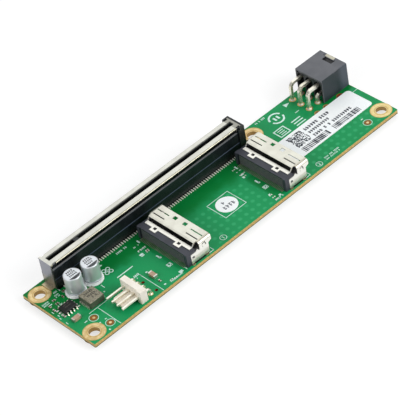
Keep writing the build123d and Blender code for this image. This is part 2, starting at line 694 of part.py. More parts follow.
def make_socket_cage(number, at):
    """Folded sheet over the body, with its windows, slits, rear strip, loops and legs."""
    side = [(CAGE_REAR, CAGE_BOTTOM), (CAGE_REAR, CAGE_SIDE_TOP), (STRIP_FRONT, CAGE_SIDE_TOP),
            (STRIP_FRONT + 2 * CAGE_T, CAGE_PEAK_Z), (STRIP_FRONT + 4 * CAGE_T, CAGE_PEAK_Z),
            (CAGE_SHOULDER_X - 2 * CAGE_T, CAGE_SLIT_Z), (CAGE_SHOULDER_X, CAGE_SLIT_Z),
            (CAGE_SHOULDER_X, CAGE_TOP), (CAGE_FRONT, CAGE_TOP),
            (CAGE_FRONT, CAGE_LOW_FRONT_Z), (CAGE_SIDE_FRONT, CAGE_SIDE_TOP),
            (CAGE_SIDE_FRONT, CAGE_BOTTOM)]
    with BuildPart() as cage:
        with BuildSketch(end_view(CAGE_REAR, at)) as sheet:
            make_face(bent_u(CAGE_OUT, CAGE_TOP, CAGE_BOTTOM, CAGE_BEND_R))
            inner = bent_u(CAGE_IN, CAGE_TOP - CAGE_T, CAGE_BOTTOM, CAGE_BEND_R - CAGE_T)
            make_face(inner, mode=Mode.SUBTRACT)
        extrude(sheet.sketch, amount=CAGE_FRONT - CAGE_REAR)
        bar_across(side, (-CAGE_OUT, CAGE_OUT), at, Mode.INTERSECT)
        block((CAGE_ROOF_REAR, CAGE_SHOULDER_X), (-CAGE_ROOF_HALF_W, CAGE_ROOF_HALF_W),
              (CAGE_TOP - CAGE_T, CAGE_TOP), at)
        rear_lip = [(CAGE_ROOF_REAR, CAGE_TOP), (CAGE_ROOF_REAR + LIP_FOLD_L, CAGE_TOP),
                    (CAGE_ROOF_REAR, CAGE_TOP - LIP_DROP)]
        bar_across(rear_lip, (-CAGE_ROOF_HALF_W, CAGE_ROOF_HALF_W), at, Mode.SUBTRACT)

        strip_z = (BODY_TOP + FIT_GAP, BODY_TOP + FIT_GAP + CAGE_T)
        block((STRIP_REAR, STRIP_FRONT), (-STRIP_HALF_W, STRIP_HALF_W), strip_z, at)
        loops = [(STRIP_REAR - LOOP_OUT / 2, s * LOOP_Y) for s in (-1, 1)]
        blocks(loops, LOOP_OUT, LOOP_W, strip_z, at)
        blocks([(STRIP_REAR, s * LOOP_Y) for s in (-1, 1)], LOOP_HOLE_L, LOOP_HOLE_W, strip_z,
               at, Mode.SUBTRACT)
        web = [(STRIP_FRONT - 2 * CAGE_T, strip_z[0]), (STRIP_FRONT, strip_z[0]),
               (CAGE_ROOF_REAR + 2 * CAGE_T, CAGE_TOP - CAGE_T),
               (CAGE_ROOF_REAR, CAGE_TOP - CAGE_T)]
        bar_across(web, (STRIP_HALF_W - CAGE_T, STRIP_HALF_W), at)
        bar_across(web, (-STRIP_HALF_W, CAGE_T - STRIP_HALF_W), at)

        roof_z = (CAGE_TOP - CAGE_T, CAGE_TOP)
        blocks([(WINDOW_X, WINDOW_ASIDE + s * WINDOW_Y) for s in (-1, 1)], WINDOW_L, WINDOW_W,
               roof_z, at, Mode.SUBTRACT)
        slit_mid = (ROOF_SLIT_NEAR + ROOF_SLIT_FAR) / 2
        blocks([(x, s * slit_mid) for x in ROOF_SLIT_XS for s in (-1, 1)], ROOF_SLIT_W,
               ROOF_SLIT_FAR - ROOF_SLIT_NEAR, roof_z, at, Mode.SUBTRACT)
        through = (-CAGE_OUT, CAGE_OUT)
        with BuildSketch(front_view(through[1], at)) as cuts:
            with Locations((SIDE_HOLE_X, SIDE_HOLE_Z)):
                Rectangle(SIDE_HOLE_L, SIDE_HOLE_H)
            with Locations(LANCE_DOT):
                Circle(LANCE_W / 2)
            with BuildLine():
                Polyline(*strip_outline([LANCE_REAR, LANCE_TIP, LANCE_FRONT], LANCE_W),
                         close=True)
            make_face()
        extrude(cuts.sketch, amount=2 * CAGE_OUT, mode=Mode.SUBTRACT)
        blocks([(x, s * CAGE_LEG_Y) for x in CAGE_LEG_XS for s in (-1, 1)], CAGE_LEG_W, CAGE_T,
               (TAIL_END, CAGE_BOTTOM), at)
    finish(cage, f"socket_{number}_cage")


# Power header
def make_power_housing():
    """Six-way shrouded body with rear arches, a latch pocket and two board pegs."""
    near, far, left = POWER_NEAR, POWER_FAR, POWER_LEFT
    with BuildPart() as power_housing:
        block((left, BOARD_L), (near, far), (0, POWER_H))
        rows = (POWER_ROW_LOW, POWER_ROW_HIGH)
        with BuildSketch(end_view(BOARD_L - CAVITY_DEPTH)) as mouths:
            with Locations(*[(y, z) for y in COLUMN_YS for z in rows]):
                Rectangle(CAVITY_W, CAVITY_W)
        extrude(mouths.sketch, amount=CAVITY_DEPTH, mode=Mode.SUBTRACT)
        arch_r = ARCH_W / 2
        with BuildSketch(end_view(left)) as arches:
            with Locations(*[(y, (ARCH_TOP - arch_r) / 2) for y in COLUMN_YS]):
                Rectangle(ARCH_W, ARCH_TOP - arch_r)
            with Locations(*[(y, ARCH_TOP - arch_r) for y in COLUMN_YS]):
                Circle(arch_r)
        extrude(arches.sketch, amount=ARCH_DEPTH, mode=Mode.SUBTRACT)
        with BuildSketch(end_view(left)) as pin_ways:
            with Locations(*[(y, z) for y in COLUMN_YS for z in rows]):
                Rectangle(POWER_PIN, POWER_PIN)
        extrude(pin_ways.sketch, amount=POWER_L - CAVITY_DEPTH, mode=Mode.SUBTRACT)

        bar_rear = BOARD_L - LATCH_BAR_L
        block((bar_rear - LATCH_L, bar_rear), (near + LATCH_Y, near + LATCH_Y + LATCH_W),
              (POWER_H - LATCH_DEPTH, POWER_H), mode=Mode.SUBTRACT)
        slope = [(BOARD_L, POWER_H), (bar_rear, POWER_H), (bar_rear, POWER_H - LATCH_BAR_DROP)]
        bar_across(slope, (near + LATCH_BAR_Y, near + LATCH_BAR_Y + LATCH_BAR_W),
                   mode=Mode.SUBTRACT)
        block((BOARD_L - SEAM_L, BOARD_L), (near, near + SEAM_W),
              (POWER_H - SEAM_DEPTH, POWER_H), mode=Mode.SUBTRACT)
        with BuildSketch(end_view(left)) as vent:
            with Locations((far - VENT_INSET_Y, POWER_H - VENT_INSET_Z)):
                Circle(VENT_R)
        extrude(vent.sketch, amount=VENT_DEPTH, mode=Mode.SUBTRACT)
        discs(POWER_PEGS, POWER_PEG_R, (-BOARD_T, 0))
    finish(power_housing, "power_housing")


def bent_pin(path_points, radius, size, y):
    """Square pin swept along a bent line, at one place across the board."""
    with BuildLine(front_view(y)) as path:
        FilletPolyline(*path_points, radius=radius)
    with BuildSketch(end_view(path_points[0][0])) as end:
        with Locations((y, path_points[0][1])):
            Rectangle(size, size)
    sweep(end.sketch, path=path.line)


def make_power_pins():
    """Upper and lower pins: straight in the cavity, bent down behind the housing."""
    tip_x = BOARD_L - PIN_END_INSET
    rows = (("power_upper_pins", POWER_ROW_HIGH, TAIL_HIGH_X, POWER_BEND_HIGH),
            ("power_lower_pins", POWER_ROW_LOW, TAIL_LOW_X, POWER_BEND_LOW))
    for name, z, tail_x, radius in rows:
        with BuildPart() as pins:
            for y in COLUMN_YS:
                bent_pin([(tip_x, z), (tail_x, z), (tail_x, TAIL_END)], radius, POWER_PIN, y)
            chamfer(pins.faces().group_by(Axis.Z)[0].edges(), length=POWER_PIN_TIP)
            chamfer(pins.faces().group_by(Axis.X)[-1].edges(), length=POWER_PIN_TIP)
        finish(pins, name)


# Fan header
def make_fan_housing():
    """Upright wall with a post at its near end and a flat lock tab under the pins."""
    wall_xs = (FAN_WALL_X, FAN_WALL_X + FAN_WALL_T)
    near, far = FAN_NEAR_Y, FAN_NEAR_Y + FAN_WALL_W
    with BuildPart() as fan_header_housing:
        block(wall_xs, (near, far), (FAN_WALL_LOW, FAN_H))
        block((FAN_WALL_X - FAN_POST_OUT, wall_xs[1]), (near, near + FAN_POST_W), (0, FAN_H))
        block(wall_xs, (far - FAN_POST_W, far), (0, FAN_H))
        tab_left, tab_near = FAN_WALL_X - FAN_TAB_L, FAN_YS[0] + FAN_TAB_MARGIN
        tab_far = tab_near + FAN_TAB_W
        tab_top = FAN_PIN_Z - FAN_PIN / 2 - FAN_TAB_GAP
        with BuildSketch(level(tab_top - FAN_TAB_T)) as tab:
            with BuildLine() as edge:
                Polyline((tab_left, tab_near), (FAN_WALL_X, tab_near), (FAN_WALL_X, tab_far),
                         (tab_left + FAN_TAB_CORNER, tab_far),
                         (tab_left, tab_far - FAN_TAB_CORNER), close=True)
            make_face(edge.edges())
        extrude(tab.sketch, amount=FAN_TAB_T)
        with BuildSketch(end_view(wall_xs[0] - FAN_POST_OUT)) as pin_ways:
            with Locations(*[(y, FAN_PIN_Z) for y in FAN_YS]):
                Rectangle(FAN_PIN, FAN_PIN)
        extrude(pin_ways.sketch, amount=FAN_POST_OUT + FAN_WALL_T, mode=Mode.SUBTRACT)
    finish(fan_header_housing, "fan_header_housing")


def make_fan_pins():
    """Four thin square pins, bent down behind the wall."""
    with BuildPart() as pins:
        for y in FAN_YS:
            bent_pin([(FAN_PIN_X, FAN_PIN_Z), (FAN_BEND_X, FAN_PIN_Z), (FAN_BEND_X, TAIL_END)],
                     FAN_BEND_R, FAN_PIN, y)
        chamfer(pins.faces().group_by(Axis.Z)[0].edges(), length=FAN_PIN_TIP)
        chamfer(pins.faces().group_by(Axis.X)[0].edges(), length=FAN_PIN_TIP)
    finish(pins, "fan_header_pins")


# Board parts
def make_capacitor(number, place):
    """Grooved can in a round stepped base, with a flat lead on two sides."""
    x, y = place
    with BuildPart() as can:
        discs([place], CAN_R, (CAN_LOW, CAN_TOP))
        fillet(can.faces().sort_by(Axis.Z)[-1].edges(), radius=CAN_EDGE_R)
        groove_z = (CAN_GROOVE_Z, CAN_GROOVE_Z + CAN_GROOVE_H)
        discs([place], CAN_R, groove_z, Mode.SUBTRACT)
        discs([place], CAN_R - CAN_GROOVE_DEPTH, groove_z)
    finish(can, f"capacitor_{number}_can")

    with BuildPart() as base:
        discs([place], CAN_R + CAN_FLANGE_OUT, (CAN_BASE_GAP, CAN_FLANGE_TOP))
        discs([place], CAN_R + CAN_COLLAR_OUT, (CAN_FLANGE_TOP, CAN_COLLAR_TOP))
        discs([place], CAN_R, (CAN_LOW, CAN_COLLAR_TOP), Mode.SUBTRACT)
    finish(base, f"capacitor_{number}_base")

    with BuildPart() as leads:
        out = CAN_R + CAN_FLANGE_OUT + CAN_LEAD_OUT
        blocks([(x + s * (out - CAN_LEAD_IN / 2), y) for s in (-1, 1)], CAN_LEAD_IN, CAN_LEAD_W,
               (0, CAN_BASE_GAP))
    finish(leads, f"capacitor_{number}_leads")


def make_choke():
    """Pressed block with a folded metal terminal on both ends."""
    right, far = CHOKE_X + CHOKE_L, CHOKE_Y + CHOKE_W
    with BuildPart() as choke_body:
        block((CHOKE_X, right), (CHOKE_Y, far), (CHOKE_LOW, CHOKE_TOP))
        chamfer(choke_body.edges().filter_by(Axis.Z), length=CHOKE_EDGE)
        chamfer(choke_body.faces().sort_by(Axis.Z)[-1].edges(), length=CHOKE_EDGE)
    finish(choke_body, "choke_body")

    half = TERMINAL_T / 2
    folded = [(CHOKE_X + TERMINAL_IN, half), (CHOKE_X - TERMINAL_OUT + half, half),
              (CHOKE_X - TERMINAL_OUT + half, TERMINAL_TOP - half), (CHOKE_X, TERMINAL_TOP - half)]
    ys = (CHOKE_Y + (CHOKE_W - TERMINAL_W) / 2, CHOKE_Y + (CHOKE_W + TERMINAL_W) / 2)
    with BuildPart() as choke_terminals:
        bar_across(strip_outline(folded, TERMINAL_T), ys)
        mirrored = [(CHOKE_X + right - x, z) for x, z in folded]
        bar_across(strip_outline(mirrored, TERMINAL_T), ys)
    finish(choke_terminals, "choke_terminals")


def make_regulator():
    """Small eight-lead chip: bevelled body with a marker dimple, and bent leads."""
    half_l, half_w = CHIP_L / 2, CHIP_W / 2
    with BuildPart() as regulator_body:
        block((CHIP_X - half_l, CHIP_X + half_l), (CHIP_Y - half_w, CHIP_Y + half_w),
              (CHIP_LOW, CHIP_TOP))
        chamfer(regulator_body.faces().sort_by(Axis.Z)[-1].edges().filter_by(Axis.X),
                length=CHIP_BEVEL)
        discs([(CHIP_X - half_l + CHIP_DOT_INSET, CHIP_Y - half_w + CHIP_DOT_INSET)],
              CHIP_DOT_R, (CHIP_TOP - CHIP_DOT_DEPTH, CHIP_TOP), Mode.SUBTRACT)
    finish(regulator_body, "regulator_body")

    xs = [CHIP_X + (i - (CHIP_LEADS - 1) / 2) * CHIP_LEAD_PITCH for i in range(CHIP_LEADS)]
    foot_z = CHIP_LEAD_T / 2
    tip = CHIP_LEAD_SPAN / 2
    with BuildPart() as regulator_leads:
        for side in (-1, 1):
            bend = tip - CHIP_LEAD_FOOT
            points = [(CHIP_Y + side * out, z) for out, z in
                      ((half_w, CHIP_LEAD_Z), (bend, CHIP_LEAD_Z), (bend, foot_z), (tip, foot_z))]
            outline = strip_outline(points, CHIP_LEAD_T)
            for x in xs:
                bar_along(outline, (x - CHIP_LEAD_W / 2, x + CHIP_LEAD_W / 2))
    finish(regulator_leads, "regulator_leads")


def make_chip_parts(prefix, parts, length, width, height, end_l):
    """Ceramic blocks lying on the board, each with a metal cap at both ends."""
    middle_l = length - 2 * end_l
    with BuildPart() as bodies:
        for x, y, turn in parts:
            size = (middle_l, width) if turn == 0 else (width, middle_l)
            blocks([(x, y)], *size, (END_LIFT, height - END_LIFT))
    finish(bodies, f"{prefix}_bodies")

    with BuildPart() as ends:
        for x, y, turn in parts:
            size = (end_l, width) if turn == 0 else (width, end_l)
            reach = (length - end_l) / 2
            step = (reach, 0) if turn == 0 else (0, reach)
            blocks([(x + s * step[0], y + s * step[1]) for s in (-1, 1)], *size, (0, height))
    finish(ends, f"{prefix}_ends")


def make_paper():
    """Printed label over the rings beside the power header, and a round sticker."""
    with BuildPart() as product_label:
        with BuildSketch(level(COPPER_T)) as outline:
            with Locations(((LABEL_LEFT + LABEL_RIGHT) / 2, (LABEL_NEAR + LABEL_FAR) / 2)):
                RectangleRounded(LABEL_RIGHT - LABEL_LEFT, LABEL_FAR - LABEL_NEAR,
                                 LABEL_CORNER_R)
        extrude(outline.sketch, amount=PAPER_T)
    finish(product_label, "product_label")

    with BuildPart() as round_sticker:
        discs([STICKER_PLACE], STICKER_R, (0, PAPER_T))
    finish(round_sticker, "round_sticker")


def main():
    """Builds and writes every piece."""
    os.makedirs("parts", exist_ok=True)
    make_board()
    make_linings()
    make_solder()
    make_dots()
    make_slot_housing()
    make_slot_shell()
    make_slot_contacts()
    for number, at in enumerate(SOCKETS, start=1):
        make_socket_housing(number, at)
        make_socket_contacts(number, at)
        make_socket_comb(number, at)
        make_socket_cage(number, at)
    make_power_housing()
    make_power_pins()
    make_fan_housing()
    make_fan_pins()
    for number, place in enumerate(CAN_PLACES, start=1):
        make_capacitor(number, place)
    make_choke()
    make_regulator()
    make_chip_parts("large_chip", LARGE_PARTS, LARGE_L, LARGE_W, LARGE_H, LARGE_END_L)
    make_chip_parts("small_chip", SMALL_PARTS, SMALL_L, SMALL_W, SMALL_H, SMALL_END_L)
    make_paper()


main()
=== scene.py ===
"""Picture of a riser board: a long card slot, two cable sockets, a power header and a fan header.

Every place below is in millimetres from the board's left and front edges, and every height is
over the board's top face. spot() turns them into the metres of the shared frame.
"""

import json
import logging
import math
from dataclasses import dataclass
from enum import Enum

import bpy
from mathutils import Matrix, Vector


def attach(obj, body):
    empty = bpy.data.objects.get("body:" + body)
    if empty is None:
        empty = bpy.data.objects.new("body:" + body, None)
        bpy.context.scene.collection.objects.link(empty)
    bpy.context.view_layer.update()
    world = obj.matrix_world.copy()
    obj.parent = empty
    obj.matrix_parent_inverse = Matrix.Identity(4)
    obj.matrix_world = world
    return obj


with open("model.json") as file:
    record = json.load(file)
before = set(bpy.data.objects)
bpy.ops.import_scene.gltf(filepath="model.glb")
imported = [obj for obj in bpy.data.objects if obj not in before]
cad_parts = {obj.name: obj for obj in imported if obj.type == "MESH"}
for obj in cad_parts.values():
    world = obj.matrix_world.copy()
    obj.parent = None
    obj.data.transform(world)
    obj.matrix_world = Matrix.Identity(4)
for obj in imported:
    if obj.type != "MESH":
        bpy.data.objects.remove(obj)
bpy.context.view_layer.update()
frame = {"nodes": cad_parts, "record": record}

log = logging.getLogger("riser_board")
logging.basicConfig(level=logging.INFO, format="%(name)s: %(message)s")

MM = 0.001
BODY = "root"
HOLE_INSET = (3.8, 4.5)
BOARD_THICKNESS = 1.6
BOARD_LENGTH = 144.6
BOARD_WIDTH = 36.7
# Thickness of printed ink, and how far its underside stands off the surface, mm.
INK_THICKNESS = 0.02
INK_LIFT = 0.002

Colour = tuple[float, float, float]
Place = tuple[float, float]
Point = tuple[float, float, float]
Socket = bpy.types.NodeSocket
Spot = tuple[Socket, Socket, Socket]


def spot(x: float, y: float, z: float = 0.0) -> Point:
    """Turns a place on the board into the shared frame.

    Args:
        x: Millimetres from the left edge.
        y: Millimetres from the front edge.
        z: Millimetres over the board's top face.

    Returns:
        The same point in metres.
    """
    return ((x - HOLE_INSET[0]) * MM, (y - HOLE_INSET[1]) * MM, (z + BOARD_THICKNESS) * MM)


def srgb(red: int, green: int, blue: int) -> Colour:
    """Turns a display colour into the linear values that a shader wants.

    Args:
        red: 0 to 255.
        green: 0 to 255.
        blue: 0 to 255.

    Returns:
        Three linear values from 0 to 1.
    """

    def linear(value: int) -> float:
        """Turns one display value into a linear one."""
        part = value / 255
        return part / 12.92 if part <= 0.04045 else ((part + 0.055) / 1.055) ** 2.4

    return linear(red), linear(green), linear(blue)


class Layer(Enum):
    """Surfaces that carry print, with the height of each in millimetres."""

    BOARD = 0.0
    LABEL = 0.14
    STICKER = 0.1
    CAN = 8.1
    CHOKE = 2.9
    CHIP = 1.5

    def ink_middle(self) -> float:
        """Gives the height of the middle of the ink on this surface, mm."""
        return self.value + INK_LIFT + INK_THICKNESS / 2


@dataclass(frozen=True)
class Finish:
    """Looks of one plain material.

    Attributes:
        name: Material name.
        colour: Main linear colour.
        other: Second linear colour, mixed in as soft patches.
        roughness: Middle roughness.
        metallic: 1 for bare metal.
        specular: Strength of the plain reflection.
        grain: Size of the fine surface grain, mm.
        depth: Height of that grain, mm.
        patch: Size of the soft patches, mm.
        stretch: How much the grain is drawn out along each direction.
    """

    name: str
    colour: Colour
    other: Colour
    roughness: float
    metallic: float = 0.0
    specular: float = 0.35
    grain: float = 0.15
    depth: float = 0.004
    patch: float = 3.0
    stretch: Point = (1.0, 1.0, 1.0)


FINISHES: dict[str, Finish] = {
    "gold_plating": Finish("ring_gold", (0.80, 0.63, 0.33), (0.62, 0.45, 0.20), 0.42, 0.75,
                           grain=0.35, depth=0.01, patch=1.6),
    "solder": Finish("solder_metal", (0.86, 0.85, 0.80), (0.72, 0.71, 0.66), 0.34, 0.5,
                     grain=0.3, depth=0.012),
    "black_moulding": Finish("slot_plastic", (0.0045, 0.0070, 0.0080), (0.009, 0.013, 0.015), 0.30,
                             specular=0.38, grain=0.10, depth=0.004, patch=5.0),
    "slot_steel": Finish("slot_tin", (0.70, 0.70, 0.63), (0.62, 0.62, 0.56), 0.36, 0.85,
                         grain=0.25, depth=0.004, patch=6.0, stretch=(0.12, 1.0, 1.0)),
    "cage_steel": Finish("cage_tin", (0.75, 0.745, 0.655), (0.68, 0.67, 0.585), 0.34, 0.8,
                         grain=0.22, depth=0.004, patch=4.0, stretch=(1.0, 0.15, 1.0)),
    "contact_metal": Finish("contact_tin", (0.93, 0.91, 0.82), (0.84, 0.80, 0.70), 0.40, 0.2),
    "socket_moulding": Finish("socket_plastic", (0.034, 0.037, 0.050), (0.046, 0.050, 0.066), 0.42,
                              grain=0.10, depth=0.005, patch=4.0),
    "comb_moulding": Finish("comb_plastic", (0.086, 0.098, 0.118), (0.120, 0.135, 0.155), 0.5),
    "power_moulding": Finish("header_plastic", (0.112, 0.118, 0.132), (0.135, 0.140, 0.155), 0.48,
                             grain=0.16, depth=0.009, patch=5.0),
    "cream_moulding": Finish("cream_plastic", (0.95, 0.90, 0.80), (0.90, 0.84, 0.73), 0.42,
                             grain=0.2, depth=0.004),
    "pin_metal": Finish("pin_tin", (0.92, 0.89, 0.78), (0.80, 0.76, 0.63), 0.28, 0.85,
                        grain=0.6, depth=0.0001),
    "can_aluminium": Finish("can_metal", (0.79, 0.82, 0.85), (0.72, 0.76, 0.78), 0.42, 0.7,
                            grain=0.12, depth=0.0015),
    "base_moulding": Finish("base_plastic", (0.96, 0.97, 0.97), (0.88, 0.90, 0.90), 0.45),
    "chip_moulding": Finish("chip_plastic", (0.011, 0.012, 0.012), (0.018, 0.019, 0.018), 0.5,
                            specular=0.2, grain=0.12, depth=0.006),
    "large_ceramic": Finish("tan_ceramic", (0.50, 0.35, 0.24), (0.42, 0.27, 0.18), 0.38),
    "small_ceramic": Finish("brown_ceramic", (0.17, 0.10, 0.055), (0.10, 0.065, 0.04), 0.4),
    "end_metal": Finish("end_tin", (0.74, 0.72, 0.68), (0.60, 0.57, 0.52), 0.3, 0.85,
                        grain=0.2, depth=0.01),
    "label_paper": Finish("white_paper", (0.97, 1.0, 1.0), (0.95, 0.99, 1.0), 0.5,
                          specular=0.25, grain=0.2, depth=0.003, patch=8.0),
}
# Darker tin of the sockets' contacts: painted shade under the sockets.
SHADED_TAIL_TIN = Finish("shaded_tail_tin", (0.36, 0.36, 0.28), (0.26, 0.26, 0.20), 0.5, 0.5)
SILK = Finish("board_silk", (0.74, 0.93, 0.87), (0.58, 0.80, 0.72), 0.6, specular=0.2, patch=1.0)
DARK_INK = Finish("label_ink", (0.03, 0.035, 0.05), (0.08, 0.09, 0.11), 0.55, specular=0.2)
GREY_INK = Finish("sticker_ink", (0.18, 0.19, 0.21), (0.30, 0.31, 0.34), 0.6, specular=0.2)
FAINT_INK = Finish("faint_ink", (0.060, 0.058, 0.052), (0.085, 0.08, 0.07), 0.6, specular=0.2)
CAN_INK = Finish("can_ink", (0.045, 0.05, 0.055), (0.08, 0.085, 0.09), 0.45)
BARE_BOARD = Finish("bare_laminate", (0.30, 0.115, 0.012), (0.22, 0.075, 0.008), 0.5, patch=0.8)


class Grower:
    """Adds nodes and links to a node tree."""

    def __init__(self, tree: bpy.types.NodeTree) -> None:
        """Takes over a tree and empties it."""
        self.tree = tree
        tree.nodes.clear()

    def node(self, kind: str, **settings: object) -> bpy.types.Node:
        """Adds a node.

        Args:
            kind: Type of the node.
            **settings: Its properties by name.

        Returns:
            The node.
        """
        made = self.tree.nodes.new(kind)
        for key, value in settings.items():
            setattr(made, key, value)
        return made

    def link(self, start: Socket, end: Socket) -> None:
        """Joins two sockets."""
        self.tree.links.new(start, end)

    def put(self, value: object, end: Socket) -> None:
        """Fills an input.

        Args:
            value: Socket to link, or constant to write.
            end: The input.
        """
        if isinstance(value, Socket):
            self.link(value, end)
        else:
            end.default_value = value

    def sum(self, operation: str, first: object, second: object = 0.0) -> Socket:
        """Works out one step of arithmetic.

        Args:
            operation: Name of the math step, such as ADD.
            first: Socket or number.
            second: Socket or number.

        Returns:
            The result.
        """
        step = self.node("ShaderNodeMath", operation=operation)
        self.put(first, step.inputs[0])
        self.put(second, step.inputs[1])
        return step.outputs[0]

    def pick(self, factor: Socket, first: Socket, second: Socket, output: Socket) -> None:
        """Sends one of two shaders to an output.

        Args:
            factor: 0 picks the first shader and 1 the second.
            first: Shader.
            second: Shader.
            output: Input of the output node.
        """
        step = self.node("ShaderNodeMixShader")
        for value, end in zip((factor, first, second), step.inputs):
            self.link(value, end)
        self.link(step.outputs[0], output)


class Graph(Grower):
    """Grows the node tree of one material."""

    # Numbers of the mix node's two colour inputs and of its colour result.
    MIX_COLOURS = (6, 7)
    MIX_RESULT = 2

    def __init__(self, name: str) -> None:
        """Starts with a shader, an output and the object's own coordinates.

        Args:
            name: Material name.
        """
        self.material = bpy.data.materials.new(name)
        self.material.use_nodes = True
        super().__init__(self.material.node_tree)
        self.shader = self.node("ShaderNodeBsdfPrincipled")
        output = self.node("ShaderNodeOutputMaterial")
        self.link(self.shader.outputs["BSDF"], output.inputs["Surface"])
        self.coords: Socket = self.node("ShaderNodeTexCoord").outputs["Object"]

    def ramp(self, value: Socket, low: float, high: float, start: float = 0.0,
             end: float = 1.0) -> Socket:
        """Maps a span smoothly to another one.

        Args:
            value: Socket to map.
            low: Value that gives start.
            high: Value that gives end.
            start: Result at low.
            end: Result at high.

        Returns:
            The mapped value.
        """
        step = self.node("ShaderNodeMapRange", interpolation_type="SMOOTHSTEP")
        self.link(value, step.inputs["Value"])
        for name, number in (("From Min", low), ("From Max", high), ("To Min", start),
                             ("To Max", end)):
            step.inputs[name].default_value = number
        return step.outputs["Result"]

    def span(self, value: Socket, ends: Place, soft: float) -> Socket:
        """Gives 1 between two places and 0 outside them.

        Args:
            value: Place along one direction, mm.
            ends: Both ends, mm.
            soft: Width of the change at each end, mm.

        Returns:
            The mask.
        """
        rise = self.ramp(value, ends[0] - soft / 2, ends[0] + soft / 2)
        fall = self.ramp(value, ends[1] - soft / 2, ends[1] + soft / 2, 1.0, 0.0)
        return self.sum("MULTIPLY", rise, fall)

    def distance(self, along: Socket, across: Socket) -> Socket:
        """Gives the length of a flat offset.

        Args:
            along: Its part along the board.
            across: Its part across the board.

        Returns:
            The length.
        """
        squares = [self.sum("MULTIPLY", side, side) for side in (along, across)]
        return self.sum("SQRT", self.sum("ADD", *squares))

    def board_place(self) -> Spot:
        """Gives the place on the board and the height over its top face, in millimetres.

        Returns:
            Sockets with x, y and z.
        """
        split = self.node("ShaderNodeSeparateXYZ")
        self.link(self.coords, split.inputs[0])
        shifts = (*HOLE_INSET, -BOARD_THICKNESS)
        x, y, z = (self.sum("ADD", self.sum("MULTIPLY", part, 1 / MM), shift)
                   for part, shift in zip(split.outputs, shifts))
        return x, y, z

    def blend(self, factor: object, first: object, second: object) -> Socket:
        """Mixes two colours.

        Args:
            factor: Socket or number, 0 gives the first colour.
            first: Socket or linear colour.
            second: Socket or linear colour.

        Returns:
            The mixed colour.
        """
        step = self.node("ShaderNodeMix", data_type="RGBA")
        self.put(factor, step.inputs[0])
        for value, index in zip((first, second), self.MIX_COLOURS):
            self.put((*value, 1.0) if isinstance(value, tuple) else value, step.inputs[index])
        return step.outputs[self.MIX_RESULT]

    def noise(self, size: float, detail: float = 3.0,
              stretch: Point = (1.0, 1.0, 1.0)) -> Socket:
        """Makes soft random patches.

        Args:
            size: Patch size, mm.
            detail: How many finer layers are added.
            stretch: Scale of the pattern along each direction.

        Returns:
            A value around one half.
        """
        mapping = self.node("ShaderNodeMapping")
        mapping.inputs["Scale"].default_value = stretch
        self.link(self.coords, mapping.inputs["Vector"])
        step = self.node("ShaderNodeTexNoise")
        step.inputs["Scale"].default_value = 1 / (size * MM)
        step.inputs["Detail"].default_value = detail
        self.link(mapping.outputs["Vector"], step.inputs["Vector"])
        return step.outputs["Fac"]

    def bump(self, height: Socket, depth: float, strength: float = 0.6) -> None:
        """Raises the surface by a height pattern.

        Args:
            height: Pattern from 0 to 1.
            depth: Height of its full range, mm.
            strength: How much of it shows.
        """
        step = self.node("ShaderNodeBump")
        step.inputs["Strength"].default_value = strength
        step.inputs["Distance"].default_value = depth * MM
        self.link(height, step.inputs["Height"])
        self.link(step.outputs["Normal"], self.shader.inputs["Normal"])

    def settle(self, colour: Socket, roughness: Socket, metallic: float, specular: float) -> None:
        """Writes the shader's own inputs.

        Args:
            colour: Base colour.
            roughness: Roughness.
            metallic: Constant metallic value.
            specular: Constant strength of the plain reflection.
        """
        self.link(colour, self.shader.inputs["Base Color"])
        self.link(roughness, self.shader.inputs["Roughness"])
        self.shader.inputs["Metallic"].default_value = metallic
        self.shader.inputs["Specular IOR Level"].default_value = specular


@dataclass(frozen=True)
class Shade:
    """Part of a piece painted with a colour of its own: painted light and shade in most uses.

    Attributes:
        colour: Linear colour there.
        xs: Left and right, mm, or None for the whole length.
        ys: Front and back, mm, or None for the whole width.
        zs: Bottom and top, mm, or None for the whole height.
        soft: Width of the change at its edges, mm.
        amount: How much of the colour is laid on, 0 to 1.
    """

    colour: Colour
    xs: Place | None = None
    ys: Place | None = None
    zs: Place | None = None
    soft: float = 0.05
    amount: float = 1.0

    def lay(self, graph: Graph, place: Spot, colour: Socket) -> Socket:
        """Lays the shade over a colour.

        Args:
            graph: Material that is growing.
            place: Place on the board, mm.
            colour: Colour so far.

        Returns:
            The shaded colour.
        """
        mask: Socket | float = self.amount
        for value, ends in zip(place, (self.xs, self.ys, self.zs)):
            if ends:
                mask = graph.sum("MULTIPLY", graph.span(value, ends, self.soft), mask)
        return graph.blend(mask, colour, self.colour)


@dataclass(frozen=True)
class Hoop:
    """Thin ring around a hole painted a colour of its own, as painted shade.

    Attributes:
        colour: Linear colour there.
        centre: Middle of the hole, mm.
        radii: Inner and outer radius, mm.
        amount: How much of the colour is laid on, 0 to 1.
        soft: Width of the change at its edges, mm.
    """

    colour: Colour
    centre: Place
    radii: Place
    amount: float
    soft: float = 0.2

    def lay(self, graph: Graph, place: Spot, colour: Socket) -> Socket:
        """Lays the ring over a colour.

        Args:
            graph: Material that is growing.
            place: Place on the board, mm.
            colour: Colour so far.

        Returns:
            The shaded colour.
        """
        sides = [graph.sum("SUBTRACT", value, middle) for value, middle in zip(place, self.centre)]
        mask = graph.span(graph.distance(*sides), self.radii, self.soft)
        return graph.blend(graph.sum("MULTIPLY", mask, self.amount), colour, self.colour)


# Noise values between which a piece goes over to its second colour.
PATCH_ENDS = (0.35, 0.65)
# Values that nearly all of a noise pattern lies between.
NOISE_ENDS = (0.3, 0.7)
# How far the grain takes the roughness down and up.
SMOOTHER, ROUGHER = 0.05, 0.07


